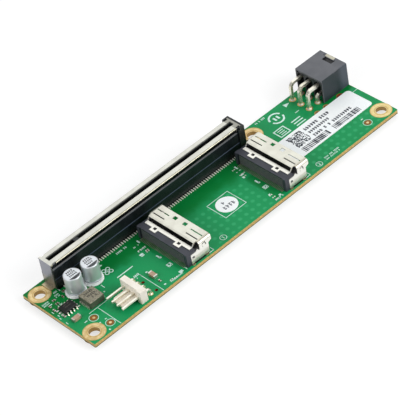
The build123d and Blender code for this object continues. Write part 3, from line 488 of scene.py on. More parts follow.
def plain_material(finish: Finish,
                   shades: tuple[Shade | Hoop, ...] = ()) -> bpy.types.Material:
    """Builds the material of one finish.

    Args:
        finish: Its looks.
        shades: Parts painted with a colour of their own, mostly painted light and shade.

    Returns:
        The material.
    """
    graph = Graph(finish.name)
    patches = graph.ramp(graph.noise(finish.patch), *PATCH_ENDS)
    grain = graph.noise(finish.grain, 2.0, finish.stretch)
    colour = graph.blend(patches, finish.colour, finish.other)
    if shades:
        place = graph.board_place()
        for shade in shades:
            colour = shade.lay(graph, place, colour)
    roughness = graph.ramp(grain, *NOISE_ENDS, finish.roughness - SMOOTHER,
                           finish.roughness + ROUGHER)
    graph.bump(grain, finish.depth)
    graph.settle(colour, roughness, finish.metallic, finish.specular)
    return graph.material


@dataclass(frozen=True)
class PressedPowder:
    """Looks of the choke: pressed metal powder of dark and pale grains.

    Attributes:
        grain: Size of one grain, mm.
        base: Two colours between the grains.
        patch: Size of the patches of those two, mm.
        pale: Colour of the pale grains.
        pale_from: Grain value where the pale grains start and where they are full.
        dark: Colour of the dark grains.
        dark_from: Grain value where the dark grains start and where they are full.
        flank: Painted shade on the upright sides.
        depth: Height of the grains, mm.
        roughness: Smoothest and roughest grain.
        metallic: Metallic value.
        specular: Strength of the plain reflection.
    """

    grain: float = 0.2
    base: tuple[Colour, Colour] = (srgb(120, 116, 98), srgb(142, 138, 118))
    patch: float = 1.5
    pale: Colour = srgb(158, 152, 134)
    pale_from: Place = (0.35, 0.85)
    dark: Colour = srgb(84, 78, 64)
    dark_from: Place = (0.84, 0.9)
    flank: Shade = Shade(srgb(54, 74, 56), zs=(-1.0, 2.72), soft=0.06, amount=0.8)
    depth: float = 0.02
    roughness: Place = (0.45, 0.7)
    metallic: float = 0.1
    specular: float = 0.3

    def material(self) -> bpy.types.Material:
        """Builds the choke's material.

        Returns:
            The material.
        """
        graph = Graph("pressed_powder")
        grains = graph.node("ShaderNodeTexVoronoi")
        grains.inputs["Scale"].default_value = 1 / (self.grain * MM)
        graph.link(graph.coords, grains.inputs["Vector"])
        split = graph.node("ShaderNodeSeparateColor")
        graph.link(grains.outputs["Color"], split.inputs["Color"])
        first, second, third = split.outputs
        base = graph.blend(graph.noise(self.patch), *self.base)
        colour = graph.blend(graph.ramp(first, *self.pale_from), base, self.pale)
        colour = graph.blend(graph.ramp(second, *self.dark_from), colour, self.dark)
        colour = self.flank.lay(graph, graph.board_place(), colour)
        graph.bump(grains.outputs["Distance"], self.depth)
        graph.settle(colour, graph.ramp(third, 0.0, 1.0, *self.roughness), self.metallic,
                     self.specular)
        return graph.material


# Rear face of each cable socket, mm from the left edge, and the middles of the mounting holes.
SOCKET_REARS = (43.4, 90.0)
MOUNTS = ((3.8, 4.5), (3.8, 32.2), (140.8, 4.5), (103.9, 32.2))
# Colours of painted shade: near black in the sockets' recesses, dark on the slot's contacts.
RECESS_SHADE = (0.006, 0.006, 0.007)
CONTACT_SHADE = (0.016, 0.015, 0.012)
SHADES: dict[str, tuple[Shade | Hoop, ...]] = {
    # Painted shade on the spring contacts inside the card groove and on their upright parts over the
    # feet.
    "contact_metal": (Shade(CONTACT_SHADE, ys=(28.78, 36.35), soft=0.03),
                      Shade(CONTACT_SHADE, zs=(0.32, 20.0), soft=0.1)),
    # Painted shade in each socket's rear trough, the gap at its near end and the two holes under the
    # loops.
    "socket_moulding": tuple(
        shade for rear in SOCKET_REARS for shade in (
            Shade(RECESS_SHADE, xs=(rear + 4.1, rear + 9.3), zs=(0.0, 5.17)),
            Shade(RECESS_SHADE, xs=(rear + 4.1, rear + 6.2), ys=(-5.0, 3.4)),
            Shade(RECESS_SHADE, xs=(rear + 1.4, rear + 3.3), ys=(6.6, 8.9), zs=(4.9, 6.0)),
            Shade(RECESS_SHADE, xs=(rear + 1.4, rear + 3.3), ys=(18.3, 20.6), zs=(4.9, 6.0)))),
    # Painted highlights along the slot's shoulder and along its lower step.
    "black_moulding": (Shade(srgb(70, 84, 96), ys=(28.95, 29.14), zs=(8.3, 9.2), soft=0.06,
                             amount=0.5),
                       Shade(srgb(84, 98, 116), ys=(28.8, 29.2), zs=(4.2, 4.4), soft=0.04,
                             amount=0.8)),
    # Painted shade on the fan header's lock tab, under its pins.
    "cream_moulding": (Shade((0.70, 0.63, 0.50), xs=(10.0, 22.4), zs=(-1.0, 2.12), amount=0.7),),
    # Painted shade on the shell's near lip and its fold, a painted darker reflection on the end
    # plate, a painted warm reflection low on the end plate and its foot, and painted shade on the
    # far end.
    "slot_steel": (Shade(srgb(16, 19, 24), ys=(20.0, 29.42), zs=(8.5, 10.66), soft=0.08),
                   Shade(srgb(176, 172, 150), ys=(29.2, 29.75), zs=(10.35, 11.0), soft=0.15,
                         amount=0.8),
                   Shade(srgb(136, 138, 150), xs=(-9.0, 9.02), soft=0.04, amount=0.92),
                   Shade(srgb(206, 190, 146), xs=(-9.0, 9.02), zs=(-6.0, 3.2), soft=4.0,
                         amount=0.8),
                   Shade(srgb(150, 149, 140), xs=(94.9, 120.0), soft=0.1, amount=0.9)),
    # Painted light on each cage's near side, painted shade on the fold over it and painted light on
    # the rear strip.
    "cage_steel": tuple(
        shade for rear in SOCKET_REARS for shade in (
            Shade((0.98, 0.97, 0.92), xs=(rear + 1.0, rear + 12.0), ys=(-2.0, 1.5),
                  zs=(2.6, 9.0), soft=0.8, amount=0.8),
            Shade(srgb(186, 178, 156), xs=(rear + 4.5, rear + 11.6), ys=(-2.0, 2.7),
                  zs=(5.95, 7.1), soft=0.1, amount=0.45),
            Shade((0.95, 0.94, 0.87), xs=(rear - 1.0, rear + 4.05), ys=(2.0, 26.0),
                  zs=(5.0, 6.3), amount=0.7))),
    # Painted shade: a dark line around the foot of both cans.
    "can_aluminium": (Shade(srgb(64, 72, 70), zs=(-1.0, 1.08), soft=0.1, amount=0.85),),
    # Painted shade on the metal ends of the large chip capacitor by the regulator.
    "end_metal": (Shade(srgb(150, 136, 116), xs=(2.0, 5.9), ys=(12.4, 14.4), soft=0.2,
                        amount=0.55),),
    # Painted shade on the rings of the pin holes under the sockets and by the power header, a
    # painted highlight on the right mounting ring, painted shade along the inner and outer rims of
    # all four, and painted shade on the walls of the holes.
    "gold_plating": (Shade(srgb(70, 96, 50), xs=(42.0, 99.4), ys=(-2.0, 27.5), soft=0.3,
                           amount=0.8),
                     Shade(srgb(212, 164, 92), xs=(120.0, 133.0), ys=(19.0, 37.0), soft=0.3,
                           amount=0.75),
                     Shade(srgb(244, 226, 160), xs=(134.0, 150.0), ys=(-3.0, 12.0),
                           zs=(-0.05, 1.0), amount=0.5),
                     *(Hoop(srgb(176, 138, 66), centre, (2.25, 2.55), 0.65) for centre in MOUNTS),
                     *(Hoop(srgb(186, 150, 82), centre, (3.72, 4.2), 0.6) for centre in MOUNTS),
                     Shade(srgb(150, 112, 48), zs=(-3.0, -0.02), soft=0.02, amount=0.75)),
    # Painted shade on the power header's near face and painted light on its paler right half,
    # painted shade in the rear arches, on their frames and in the latch pocket, and a painted
    # highlight on the latch bar behind it.
    "power_moulding": (Shade(srgb(28, 40, 46), xs=(132.0, 150.0), ys=(20.0, 23.68), soft=0.06,
                             amount=0.92),
                       Shade(srgb(100, 108, 122), xs=(141.0, 150.0), ys=(20.0, 23.68), soft=3.0,
                             amount=0.7),
                       Shade(srgb(18, 19, 20), xs=(131.8, 136.0), ys=(24.0, 36.2),
                             zs=(-1.0, 9.0), soft=0.1, amount=0.9),
                       Shade(srgb(34, 36, 38), xs=(130.0, 131.8), zs=(-1.0, 9.2), soft=0.1,
                             amount=0.85),
                       Shade(srgb(26, 27, 30), xs=(141.0, 143.25), ys=(27.7, 32.5),
                             zs=(9.0, 9.78), soft=0.03),
                       Shade(srgb(206, 202, 182), xs=(143.5, 150.0), ys=(28.9, 33.1),
                             zs=(9.3, 9.79), soft=0.03)),
}


@dataclass(frozen=True)
class Zone:
    """Part of the board whose green is lighter or darker than the rest.

    Attributes:
        xs: Left and right, mm.
        ys: Front and back, mm.
        amount: 1 gives the dark green, -1 takes it back to the light one.
        soft: Width of the change at its edges, mm.
    """

    xs: Place
    ys: Place
    amount: float
    soft: float = 1.2


@dataclass(frozen=True)
class BoardLooks:
    """Colours, zones and faint copper patterns of the circuit board.

    Attributes:
        light: Light green.
        dark: Dark green.
        bright: Green over the copper dots.
        edge: Laminate of the cut edges.
        edge_line: Dark line along the foot of the edges, and their grain.
        hole_wall: Laminate in the drilled holes, darkened as painted shade.
        zones: Darker and lighter parts; some are painted shadow by the sockets' rear faces and the
            power header.
        wander_soft: Softness from which a zone's borders wander, mm.
        wander: How far they wander, mm.
        wander_size: Size of the bends, mm.
        mottle: How far the green goes lighter and darker in patches.
        mottle_size: Size of those patches, mm.
        shadows: Near black under the slot and under the sockets' near ends.
        dot_pitch: From one copper dot to the next, mm.
        dot_radius: Their radius, mm.
        dot_soft: Half the width of their soft border, mm.
        dot_amount: How much of the bright green they show.
        dot_fields: Left and right, then front and back of the fields of dots, mm.
        field_soft: Width of the change at the fields' borders, mm.
        trace_pitch: From one fine line to the next along the board, mm.
        trace_lean: How far a line goes left for each millimetre to the back.
        trace_band: Front and back of the lines' field, mm.
        trace_soft: Width of the change at the field's front and back, mm.
        trace_flank: Height of the wave where a line starts and where it is full.
        trace_gain: How much lighter a line is.
        trace_patch: Size of the patches that show lines, mm.
        trace_patch_ends: Noise values where such a patch starts and where it is full.
        face_skin: How deep the mask goes around the edges, mm.
        edge_foot: Heights between which the dark line ends, mm.
        edge_grain: Size of the grain of the cut edges, mm.
        edge_grain_amount: Most of the dark line's colour that the grain lays on.
        rim: Distance from the edge where the laminate goes over to a hole's wall, mm.
        weave: Size of the fine unevenness of the mask, mm.
        trace_relief: Height of a fine line beside that unevenness.
        depth: Height of the unevenness, mm.
        gloss: Smoothest and roughest of the mask.
        specular: Strength of the plain reflection.
    """

    light: Colour = srgb(25, 151, 89)
    dark: Colour = srgb(0, 120, 50)
    bright: Colour = srgb(62, 182, 120)
    edge: Colour = srgb(228, 192, 120)
    edge_line: Colour = srgb(92, 84, 58)
    hole_wall: Colour = srgb(150, 70, 28)
    zones: tuple[Zone, ...] = (
        Zone((-5.0, 150.0), (19.4, 42.0), 0.95, 7.0),
        # Darker strip by the second socket's rear face, partly painted shadow.
        Zone((85.5, 90.0), (1.5, 17.6), 0.7, 1.8),
        # Painted shadow by the first socket's rear face.
        Zone((40.8, 43.8), (1.0, 26.5), 0.45, 0.8),
        Zone((12.0, 31.0), (-3.0, 11.5), 0.05, 1.0),
        Zone((14.0, 30.0), (12.5, 19.5), -0.4, 2.5),
        Zone((-5.0, 12.5), (9.0, 27.0), 0.25, 2.0),
        Zone((103.0, 152.0), (-6.0, 19.0), 0.2, 2.0),
        Zone((106.0, 150.0), (18.0, 40.0), -0.8, 4.0),
        Zone((122.0, 150.0), (19.0, 40.0), 0.2, 3.0),
        # Painted shadow along the foot of the power header's near face.
        Zone((131.0, 150.0), (21.6, 24.2), 0.6),
    )
    wander_soft: float = 2.0
    wander: float = 1.1
    wander_size: float = 7.0
    mottle: float = 0.10
    mottle_size: float = 6.0
    shadows: tuple[Shade, ...] = (
        Shade((0.002, 0.012, 0.006), (9.2, 95.2), (28.45, 36.3), (-0.6, 0.6), 0.3),
        *(Shade((0.003, 0.012, 0.006), (rear + 1.6, rear + 9.9), (0.75, 3.0), (-0.6, 0.6), 0.25,
                0.9) for rear in SOCKET_REARS),
    )
    dot_pitch: float = 3.0
    dot_radius: float = 0.7
    dot_soft: float = 0.3
    dot_amount: float = 0.5
    dot_fields: tuple[tuple[Place, Place], ...] = (
        ((57.0, 85.0), (1.2, 17.8)), ((101.0, 143.0), (1.2, 9.0)))
    field_soft: float = 0.6
    trace_pitch: float = 0.95
    trace_lean: float = 0.85
    trace_band: Place = (18.5, 28.0)
    trace_soft: float = 2.0
    trace_flank: Place = (0.2, 0.8)
    trace_gain: float = 0.16
    trace_patch: float = 9.0
    trace_patch_ends: Place = (0.42, 0.56)
    face_skin: float = 0.02
    edge_foot: Place = (-1.35, -1.1)
    edge_grain: float = 0.35
    edge_grain_amount: float = 0.35
    rim: Place = (0.15, 0.3)
    weave: float = 0.4
    trace_relief: float = -4.0
    depth: float = 0.006
    gloss: Place = (0.34, 0.46)
    specular: float = 0.12

    def material(self) -> bpy.types.Material:
        """Builds the board's material.

        Returns:
            Green mask on both faces, bare laminate on the edges and in the holes.
        """
        graph = Graph("board_mask")
        place = graph.board_place()
        x, y, z = place
        traces = self._traces(graph, x, y)
        mask = graph.blend(graph.ramp(self._darkness(graph, x, y, traces), 0.0, 1.0), self.light,
                           self.dark)
        mask = graph.blend(self._dots(graph, x, y), mask, self.bright)
        for shadow in self.shadows:
            mask = shadow.lay(graph, place, mask)
        skin = self.face_skin
        wall = graph.span(z, (skin - BOARD_THICKNESS, -skin), skin)
        colour = graph.blend(wall, mask, self._bare(graph, x, y, z))
        weave = graph.noise(self.weave, 2.0)
        relief = graph.sum("MULTIPLY", traces, self.trace_relief)
        graph.bump(graph.sum("ADD", relief, weave), self.depth)
        graph.settle(colour, graph.ramp(weave, *NOISE_ENDS, *self.gloss), 0.0, self.specular)
        return graph.material

    def _darkness(self, graph: Graph, x: Socket, y: Socket, traces: Socket) -> Socket:
        """Adds up the zones, a mottle and the traces.

        Args:
            graph: Material that is growing.
            x: Place along the board, mm.
            y: Place across the board, mm.
            traces: Change that the fine lines make.

        Returns:
            0 for the light green to 1 for the dark one.
        """
        wave = graph.ramp(graph.noise(self.wander_size), *NOISE_ENDS, -self.wander, self.wander)
        wavy = graph.sum("ADD", y, wave)
        darkness: Socket | float = 0.0
        for zone in self.zones:
            across = wavy if zone.soft > self.wander_soft else y
            inside = graph.sum("MULTIPLY", graph.span(x, zone.xs, zone.soft),
                               graph.span(across, zone.ys, zone.soft))
            darkness = graph.sum("ADD", darkness, graph.sum("MULTIPLY", inside, zone.amount))
        mottle = graph.ramp(graph.noise(self.mottle_size, 4.0), *NOISE_ENDS, -self.mottle,
                            self.mottle)
        return graph.sum("ADD", graph.sum("ADD", darkness, mottle), traces)

    def _traces(self, graph: Graph, x: Socket, y: Socket) -> Socket:
        """Draws fine copper lines that run at a slant from the slot to the sockets.

        Args:
            graph: Material that is growing.
            x: Place along the board, mm.
            y: Place across the board, mm.

        Returns:
            0 between the lines, less on them.
        """
        slant = graph.sum("ADD", x, graph.sum("MULTIPLY", y, self.trace_lean))
        wave = graph.sum("SINE", graph.sum("MULTIPLY", slant, 2 * math.pi / self.trace_pitch))
        lines = graph.ramp(wave, *self.trace_flank, 0.0, -self.trace_gain)
        band = graph.span(y, self.trace_band, self.trace_soft)
        patches = graph.ramp(graph.noise(self.trace_patch, 1.0), *self.trace_patch_ends)
        return graph.sum("MULTIPLY", graph.sum("MULTIPLY", lines, band), patches)

    def _dots(self, graph: Graph, x: Socket, y: Socket) -> Socket:
        """Draws the round copper dots that show through the mask.

        Args:
            graph: Material that is growing.
            x: Place along the board, mm.
            y: Place across the board, mm.

        Returns:
            How much of the bright green is laid on.
        """
        offsets = []
        for value in (x, y):
            step = graph.sum("FRACT", graph.sum("DIVIDE", value, self.dot_pitch))
            offsets.append(graph.sum("MULTIPLY", graph.sum("SUBTRACT", step, 0.5), self.dot_pitch))
        dot = graph.ramp(graph.distance(*offsets), self.dot_radius - self.dot_soft,
                         self.dot_radius + self.dot_soft, self.dot_amount, 0.0)
        fields = [graph.sum("MULTIPLY", graph.span(x, xs, self.field_soft),
                            graph.span(y, ys, self.field_soft)) for xs, ys in self.dot_fields]
        return graph.sum("MULTIPLY", dot, graph.sum("ADD", *fields))

    def _bare(self, graph: Graph, x: Socket, y: Socket, z: Socket) -> Socket:
        """Colours the laminate of the cut edges and of the drilled holes.

        Args:
            graph: Material that is growing.
            x: Place along the board, mm.
            y: Place across the board, mm.
            z: Height over the top face, mm.

        Returns:
            The colour.
        """
        edge = graph.blend(graph.ramp(z, *self.edge_foot), self.edge_line, self.edge)
        grain = graph.ramp(graph.noise(self.edge_grain, 2.0, (0.4, 0.4, 1.0)), 0.4, 0.6, 0.0,
                           self.edge_grain_amount)
        edge = graph.blend(grain, edge, self.edge_line)
        gaps = [graph.sum("MINIMUM", value, graph.sum("SUBTRACT", side, value))
                for value, side in ((x, BOARD_LENGTH), (y, BOARD_WIDTH))]
        outer = graph.ramp(graph.sum("MINIMUM", *gaps), *self.rim, 1.0, 0.0)
        return graph.blend(outer, self.hole_wall, edge)


class Wardrobe:
    """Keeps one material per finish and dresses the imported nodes."""

    def __init__(self) -> None:
        """Builds the material of every slot."""
        self.by_slot: dict[str, bpy.types.Material] = {
            slot: plain_material(finish, SHADES.get(slot, ())) for slot, finish in FINISHES.items()}
        self.by_slot["choke_powder"] = PressedPowder().material()
        self.by_slot["laminate"] = BoardLooks().material()
        # The sockets' contacts get the darker tin that paints their shade under the sockets.
        shaded_tails = plain_material(SHADED_TAIL_TIN)
        self.by_node: dict[str, bpy.types.Material] = {
            f"socket_{number}_{row}_contacts": shaded_tails
            for number in (1, 2) for row in ("upper", "lower")}

    def dress(self) -> None:
        """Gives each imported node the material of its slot, and the sockets' contacts their own."""
        slots = {row["node"]: row["material_slot"] for row in frame["record"]["subparts"]}
        for name, node in frame["nodes"].items():
            material = self.by_node.get(name) or self.by_slot[slots[name]]
            for place in node.material_slots:
                place.material = material
            if not node.material_slots:
                node.data.materials.append(material)
            log.info("dressed %s with %s", name, material.name)


class InkSheet:
    """Raised flat marks at one height, gathered into one mesh."""

    # Degrees that one straight piece of a curve covers.
    ARC_STEP = 12

    def __init__(self, layer: Layer) -> None:
        """Starts an empty sheet.

        Args:
            layer: Surface that carries the marks.
        """
        self.base = layer.value + INK_LIFT
        self.verts: list[Point] = []
        self.faces: list[tuple[int, ...]] = []

    def shape(self, points: list[Place]) -> None:
        """Adds one filled outline.

        Args:
            points: Its corners, mm, anticlockwise as seen from above.
        """
        first, count = len(self.verts), len(points)
        top = self.base + INK_THICKNESS
        self.verts += [spot(x, y, top) for x, y in points]
        self.verts += [spot(x, y, self.base) for x, y in points]
        self.faces.append(tuple(range(first, first + count)))
        for i in range(count):
            after = (i + 1) % count
            self.faces.append((first + i, first + count + i, first + count + after, first + after))

    def box(self, x: float, y: float, length: float, width: float, turn: float = 0.0) -> None:
        """Adds a filled rectangle.

        Args:
            x: Middle, mm.
            y: Middle, mm.
            length: Size along the board before turning.
            width: Size across the board before turning.
            turn: Degrees, anticlockwise.
        """
        cos, sin = math.cos(math.radians(turn)), math.sin(math.radians(turn))
        corners = ((-1, -1), (1, -1), (1, 1), (-1, 1))
        half = [(u * length / 2, v * width / 2) for u, v in corners]
        self.shape([(x + u * cos - v * sin, y + u * sin + v * cos) for u, v in half])

    def line(self, start: Place, end: Place, width: float) -> None:
        """Adds a straight stroke.

        Args:
            start: One end of its middle line, mm.
            end: The other end, mm.
            width: Stroke width.
        """
        along = (end[0] - start[0], end[1] - start[1])
        self.box((start[0] + end[0]) / 2, (start[1] + end[1]) / 2, math.hypot(*along), width,
                 math.degrees(math.atan2(along[1], along[0])))

    def outline(self, xs: Place, ys: Place, width: float) -> None:
        """Adds the four strokes of a rectangle.

        Args:
            xs: Left and right middle line, mm.
            ys: Front and back middle line, mm.
            width: Stroke width.
        """
        for y in ys:
            self.box((xs[0] + xs[1]) / 2, y, xs[1] - xs[0] + width, width)
        for x in xs:
            self.box(x, (ys[0] + ys[1]) / 2, width, ys[1] - ys[0] - width)

    def arc(self, centre: Place, radius: float, width: float, start: float = 0.0,
            sweep: float = 360.0) -> None:
        """Adds a curved stroke.

        Args:
            centre: Middle of the circle, mm.
            radius: Radius of the stroke's middle line.
            width: Stroke width.
            start: Degrees from the board's long direction.
            sweep: Degrees covered, anticlockwise.
        """
        steps = max(int(sweep / self.ARC_STEP), 3)
        for i in range(steps):
            angles = [math.radians(start + sweep * (i + side) / steps) for side in (0, 1)]
            corners = [(angles[0], radius - width / 2), (angles[0], radius + width / 2),
                       (angles[1], radius + width / 2), (angles[1], radius - width / 2)]
            self.shape([(centre[0] + reach * math.cos(a), centre[1] + reach * math.sin(a))
                        for a, reach in corners])

    def disc(self, centre: Place, radius: float, steps: int = 28) -> None:
        """Adds a filled circle.

        Args:
            centre: Its middle, mm.
            radius: Its radius.
            steps: Number of corners.
        """
        angles = [2 * math.pi * i / steps for i in range(steps)]
        self.shape([(centre[0] + radius * math.cos(a), centre[1] + radius * math.sin(a))
                    for a in angles])

    def mesh(self, name: str) -> bpy.types.Mesh:
        """Turns the marks into a mesh."""
        return plain_mesh(name, self.verts, self.faces)


class GeometryTree(Grower):
    """Geometry Nodes tree built here, run once and turned into a plain mesh."""

    # Numbers of the random node's two inputs for plain numbers and of its plain result.
    RANDOM_ENDS = (2, 3)
    RANDOM_RESULT = 1

    def __init__(self, name: str, inputs: dict[str, str]) -> None:
        """Starts a tree with named inputs.

        Args:
            name: Tree name.
            inputs: Kind of socket by input name, in order.
        """
        super().__init__(bpy.data.node_groups.new(name, "GeometryNodeTree"))
        make = self.tree.interface.new_socket
        make("Geometry", in_out="INPUT", socket_type="NodeSocketGeometry")
        make("Geometry", in_out="OUTPUT", socket_type="NodeSocketGeometry")
        self.entry = self.node("NodeGroupInput")
        self.exit = self.node("NodeGroupOutput")
        self.identifiers = {
            label: make(label, in_out="INPUT", socket_type=f"NodeSocket{kind}").identifier
            for label, kind in inputs.items()}
        self.named: dict[str, Socket] = {label: self.entry.outputs[label] for label in inputs}

    def vector(self, x: object, y: object, z: object) -> Socket:
        """Puts three values into one vector.

        Args:
            x: Socket or number.
            y: Socket or number.
            z: Socket or number.

        Returns:
            The vector.
        """
        step = self.node("ShaderNodeCombineXYZ")
        for value, end in zip((x, y, z), step.inputs):
            self.put(value, end)
        return step.outputs[0]

    def chance(self, low: float, high: float, shift: int) -> Socket:
        """Gives each point a random number.

        Args:
            low: Smallest value.
            high: Largest value.
            shift: Keeps two random values of one point apart.

        Returns:
            The random value.
        """
        step = self.node("FunctionNodeRandomValue", data_type="FLOAT")
        for value, index in zip((low, high), self.RANDOM_ENDS):
            step.inputs[index].default_value = value
        self.link(self.sum("ADD", self.named["Seed"], shift), step.inputs["Seed"])
        return step.outputs[self.RANDOM_RESULT]

    def row(self) -> Socket:
        """Gives a row of points along the board.

        Returns:
            As many points as the input Number says, one Pitch apart.
        """
        line = self.node("GeometryNodeMeshLine")
        self.link(self.named["Number"], line.inputs["Count"])
        self.link(self.vector(self.named["Pitch"], 0.0, 0.0), line.inputs["Offset"])
        return line.outputs["Mesh"]

    def thin_out(self, points: Socket, share: float, shift: int) -> Socket:
        """Leaves out points at random.

        Args:
            points: All the points.
            share: Share that is left out.
            shift: Keeps the random value apart from others.

        Returns:
            The rest.
        """
        kept = self.node("GeometryNodeDeleteGeometry")
        self.link(points, kept.inputs["Geometry"])
        self.link(self.sum("LESS_THAN", self.chance(0.0, 1.0, shift), share),
                  kept.inputs["Selection"])
        return kept.outputs["Geometry"]

    def stamp(self, points: Socket, scale: Socket, shape: Socket | None = None) -> Socket:
        """Puts a copy of a shape on every point.

        Args:
            points: The points.
            scale: Size of each copy along the three directions.
            shape: Unit shape, or None for a cube.

        Returns:
            The copies.
        """
        step = self.node("GeometryNodeInstanceOnPoints")
        self.link(points, step.inputs["Points"])
        self.link(shape or self.node("GeometryNodeMeshCube").outputs["Mesh"],
                  step.inputs["Instance"])
        self.link(scale, step.inputs["Scale"])
        return step.outputs["Instances"]

    def close(self, shown: list[Socket]) -> None:
        """Joins, moves, realizes and paints the result.

        Args:
            shown: Geometries to join, moved to the input Place where the tree has one.
        """
        join = self.node("GeometryNodeJoinGeometry")
        for part in shown:
            self.link(part, join.inputs[0])
        result = join.outputs[0]
        if "Place" in self.named:
            move = self.node("GeometryNodeTransform")
            self.link(result, move.inputs["Geometry"])
            self.link(self.named["Place"], move.inputs["Translation"])
            result = move.outputs["Geometry"]
        real = self.node("GeometryNodeRealizeInstances")
        self.link(result, real.inputs["Geometry"])
        paint = self.node("GeometryNodeSetMaterial")
        self.link(real.outputs["Geometry"], paint.inputs["Geometry"])
        self.link(self.named["Material"], paint.inputs["Material"])
        self.link(paint.outputs["Geometry"], self.exit.inputs["Geometry"])

    def run(self, values: dict[str, object],
            source: bpy.types.Mesh | None = None) -> bpy.types.Mesh:
        """Runs the tree once.

        Args:
            values: Value of each named input.
            source: Mesh that the tree starts from, if it needs one.

        Returns:
            A plain mesh with the result.
        """
        mesh = source or bpy.data.meshes.new("tree_source")
        carrier = bpy.data.objects.new("tree_carrier", mesh)
        bpy.context.scene.collection.objects.link(carrier)
        modifier = carrier.modifiers.new("tree", "NODES")
        modifier.node_group = self.tree
        for name, value in values.items():
            modifier[self.identifiers[name]] = value
        carrier.update_tag()
        graph = bpy.context.evaluated_depsgraph_get()
        result = bpy.data.meshes.new_from_object(carrier.evaluated_get(graph))
        carrier.modifiers.remove(modifier)
        bpy.data.objects.remove(carrier)
        bpy.data.meshes.remove(mesh)
        return result


def plain_mesh(name: str, verts: list[Point], faces: list[tuple[int, ...]]) -> bpy.types.Mesh:
    """Makes a mesh.

    Args:
        name: Mesh name.
        verts: Its corners.
        faces: Its faces, as numbers of the corners.

    Returns:
        The mesh.
    """
    made = bpy.data.meshes.new(name)
    made.from_pydata(verts, [], faces)
    made.update()
    return made


def merge(name: str, meshes: list[bpy.types.Mesh]) -> bpy.types.Mesh:
    """Joins plain meshes into one.

    Args:
        name: Name of the result.
        meshes: Meshes to join, removed afterwards.

    Returns:
        The joined mesh.
    """
    verts: list[Point] = []
    faces: list[tuple[int, ...]] = []
    for mesh in meshes:
        first = len(verts)
        verts += [tuple(v.co) for v in mesh.vertices]
        faces += [tuple(first + i for i in face.vertices) for face in mesh.polygons]
        bpy.data.meshes.remove(mesh)
    return plain_mesh(name, verts, faces)


def show(name: str, mesh: bpy.types.Mesh, material: bpy.types.Material) -> None:
    """Puts a finished piece into the scene.

    Args:
        name: Object name.
        mesh: Its mesh, in the shared frame.
        material: Its material.
    """
    mesh.materials.clear()
    mesh.materials.append(material)
    piece = bpy.data.objects.new(name, mesh)
    bpy.context.scene.collection.objects.link(piece)
    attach(piece, BODY)
    log.info("made %s with %d faces", name, len(mesh.polygons))


def mound() -> bpy.types.Object:
    """Makes the shape of one solder pad: eight-sided, rounded over to a small flat top.

    Returns:
        A unit shape that stands on the ground.
    """
    # Width and height of each ring, as shares of the foot and of the whole height.
    levels = ((1.0, 0.0), (0.94, 0.55), (0.775, 0.88), (0.55, 1.0))
    side, corner = 0.5, 0.28
    outline = [(side, -corner), (side, corner), (corner, side), (-corner, side), (-side, corner),
               (-side, -corner), (-corner, -side), (corner, -side)]
    count = len(outline)
    verts = [(u * size, v * size, z) for size, z in levels for u, v in outline]
    faces = [tuple(reversed(range(count))), tuple(range(len(verts) - count, len(verts)))]
    for ring in range(len(levels) - 1):
        for i in range(count):
            low, after = ring * count + i, ring * count + (i + 1) % count
            faces.append((low, after, after + count, low + count))
    template = bpy.data.objects.new("mound", plain_mesh("mound", verts, faces))
    bpy.context.scene.collection.objects.link(template)
    return template


@dataclass(frozen=True)
class PadRow:
    """Row of equal solder pads under the feet of one row of contacts.

    Attributes:
        start: First pad's middle, mm.
        step: From one pad to the next, mm.
        count: Number of pads.
        size: Length along the board, width across it and height, mm.
    """

    start: Place
    step: Place
    count: int
    size: Point

    def places(self) -> list[Place]:
        """Gives the middle of every pad."""
        return [(self.start[0] + i * self.step[0], self.start[1] + i * self.step[1])
                for i in range(self.count)]


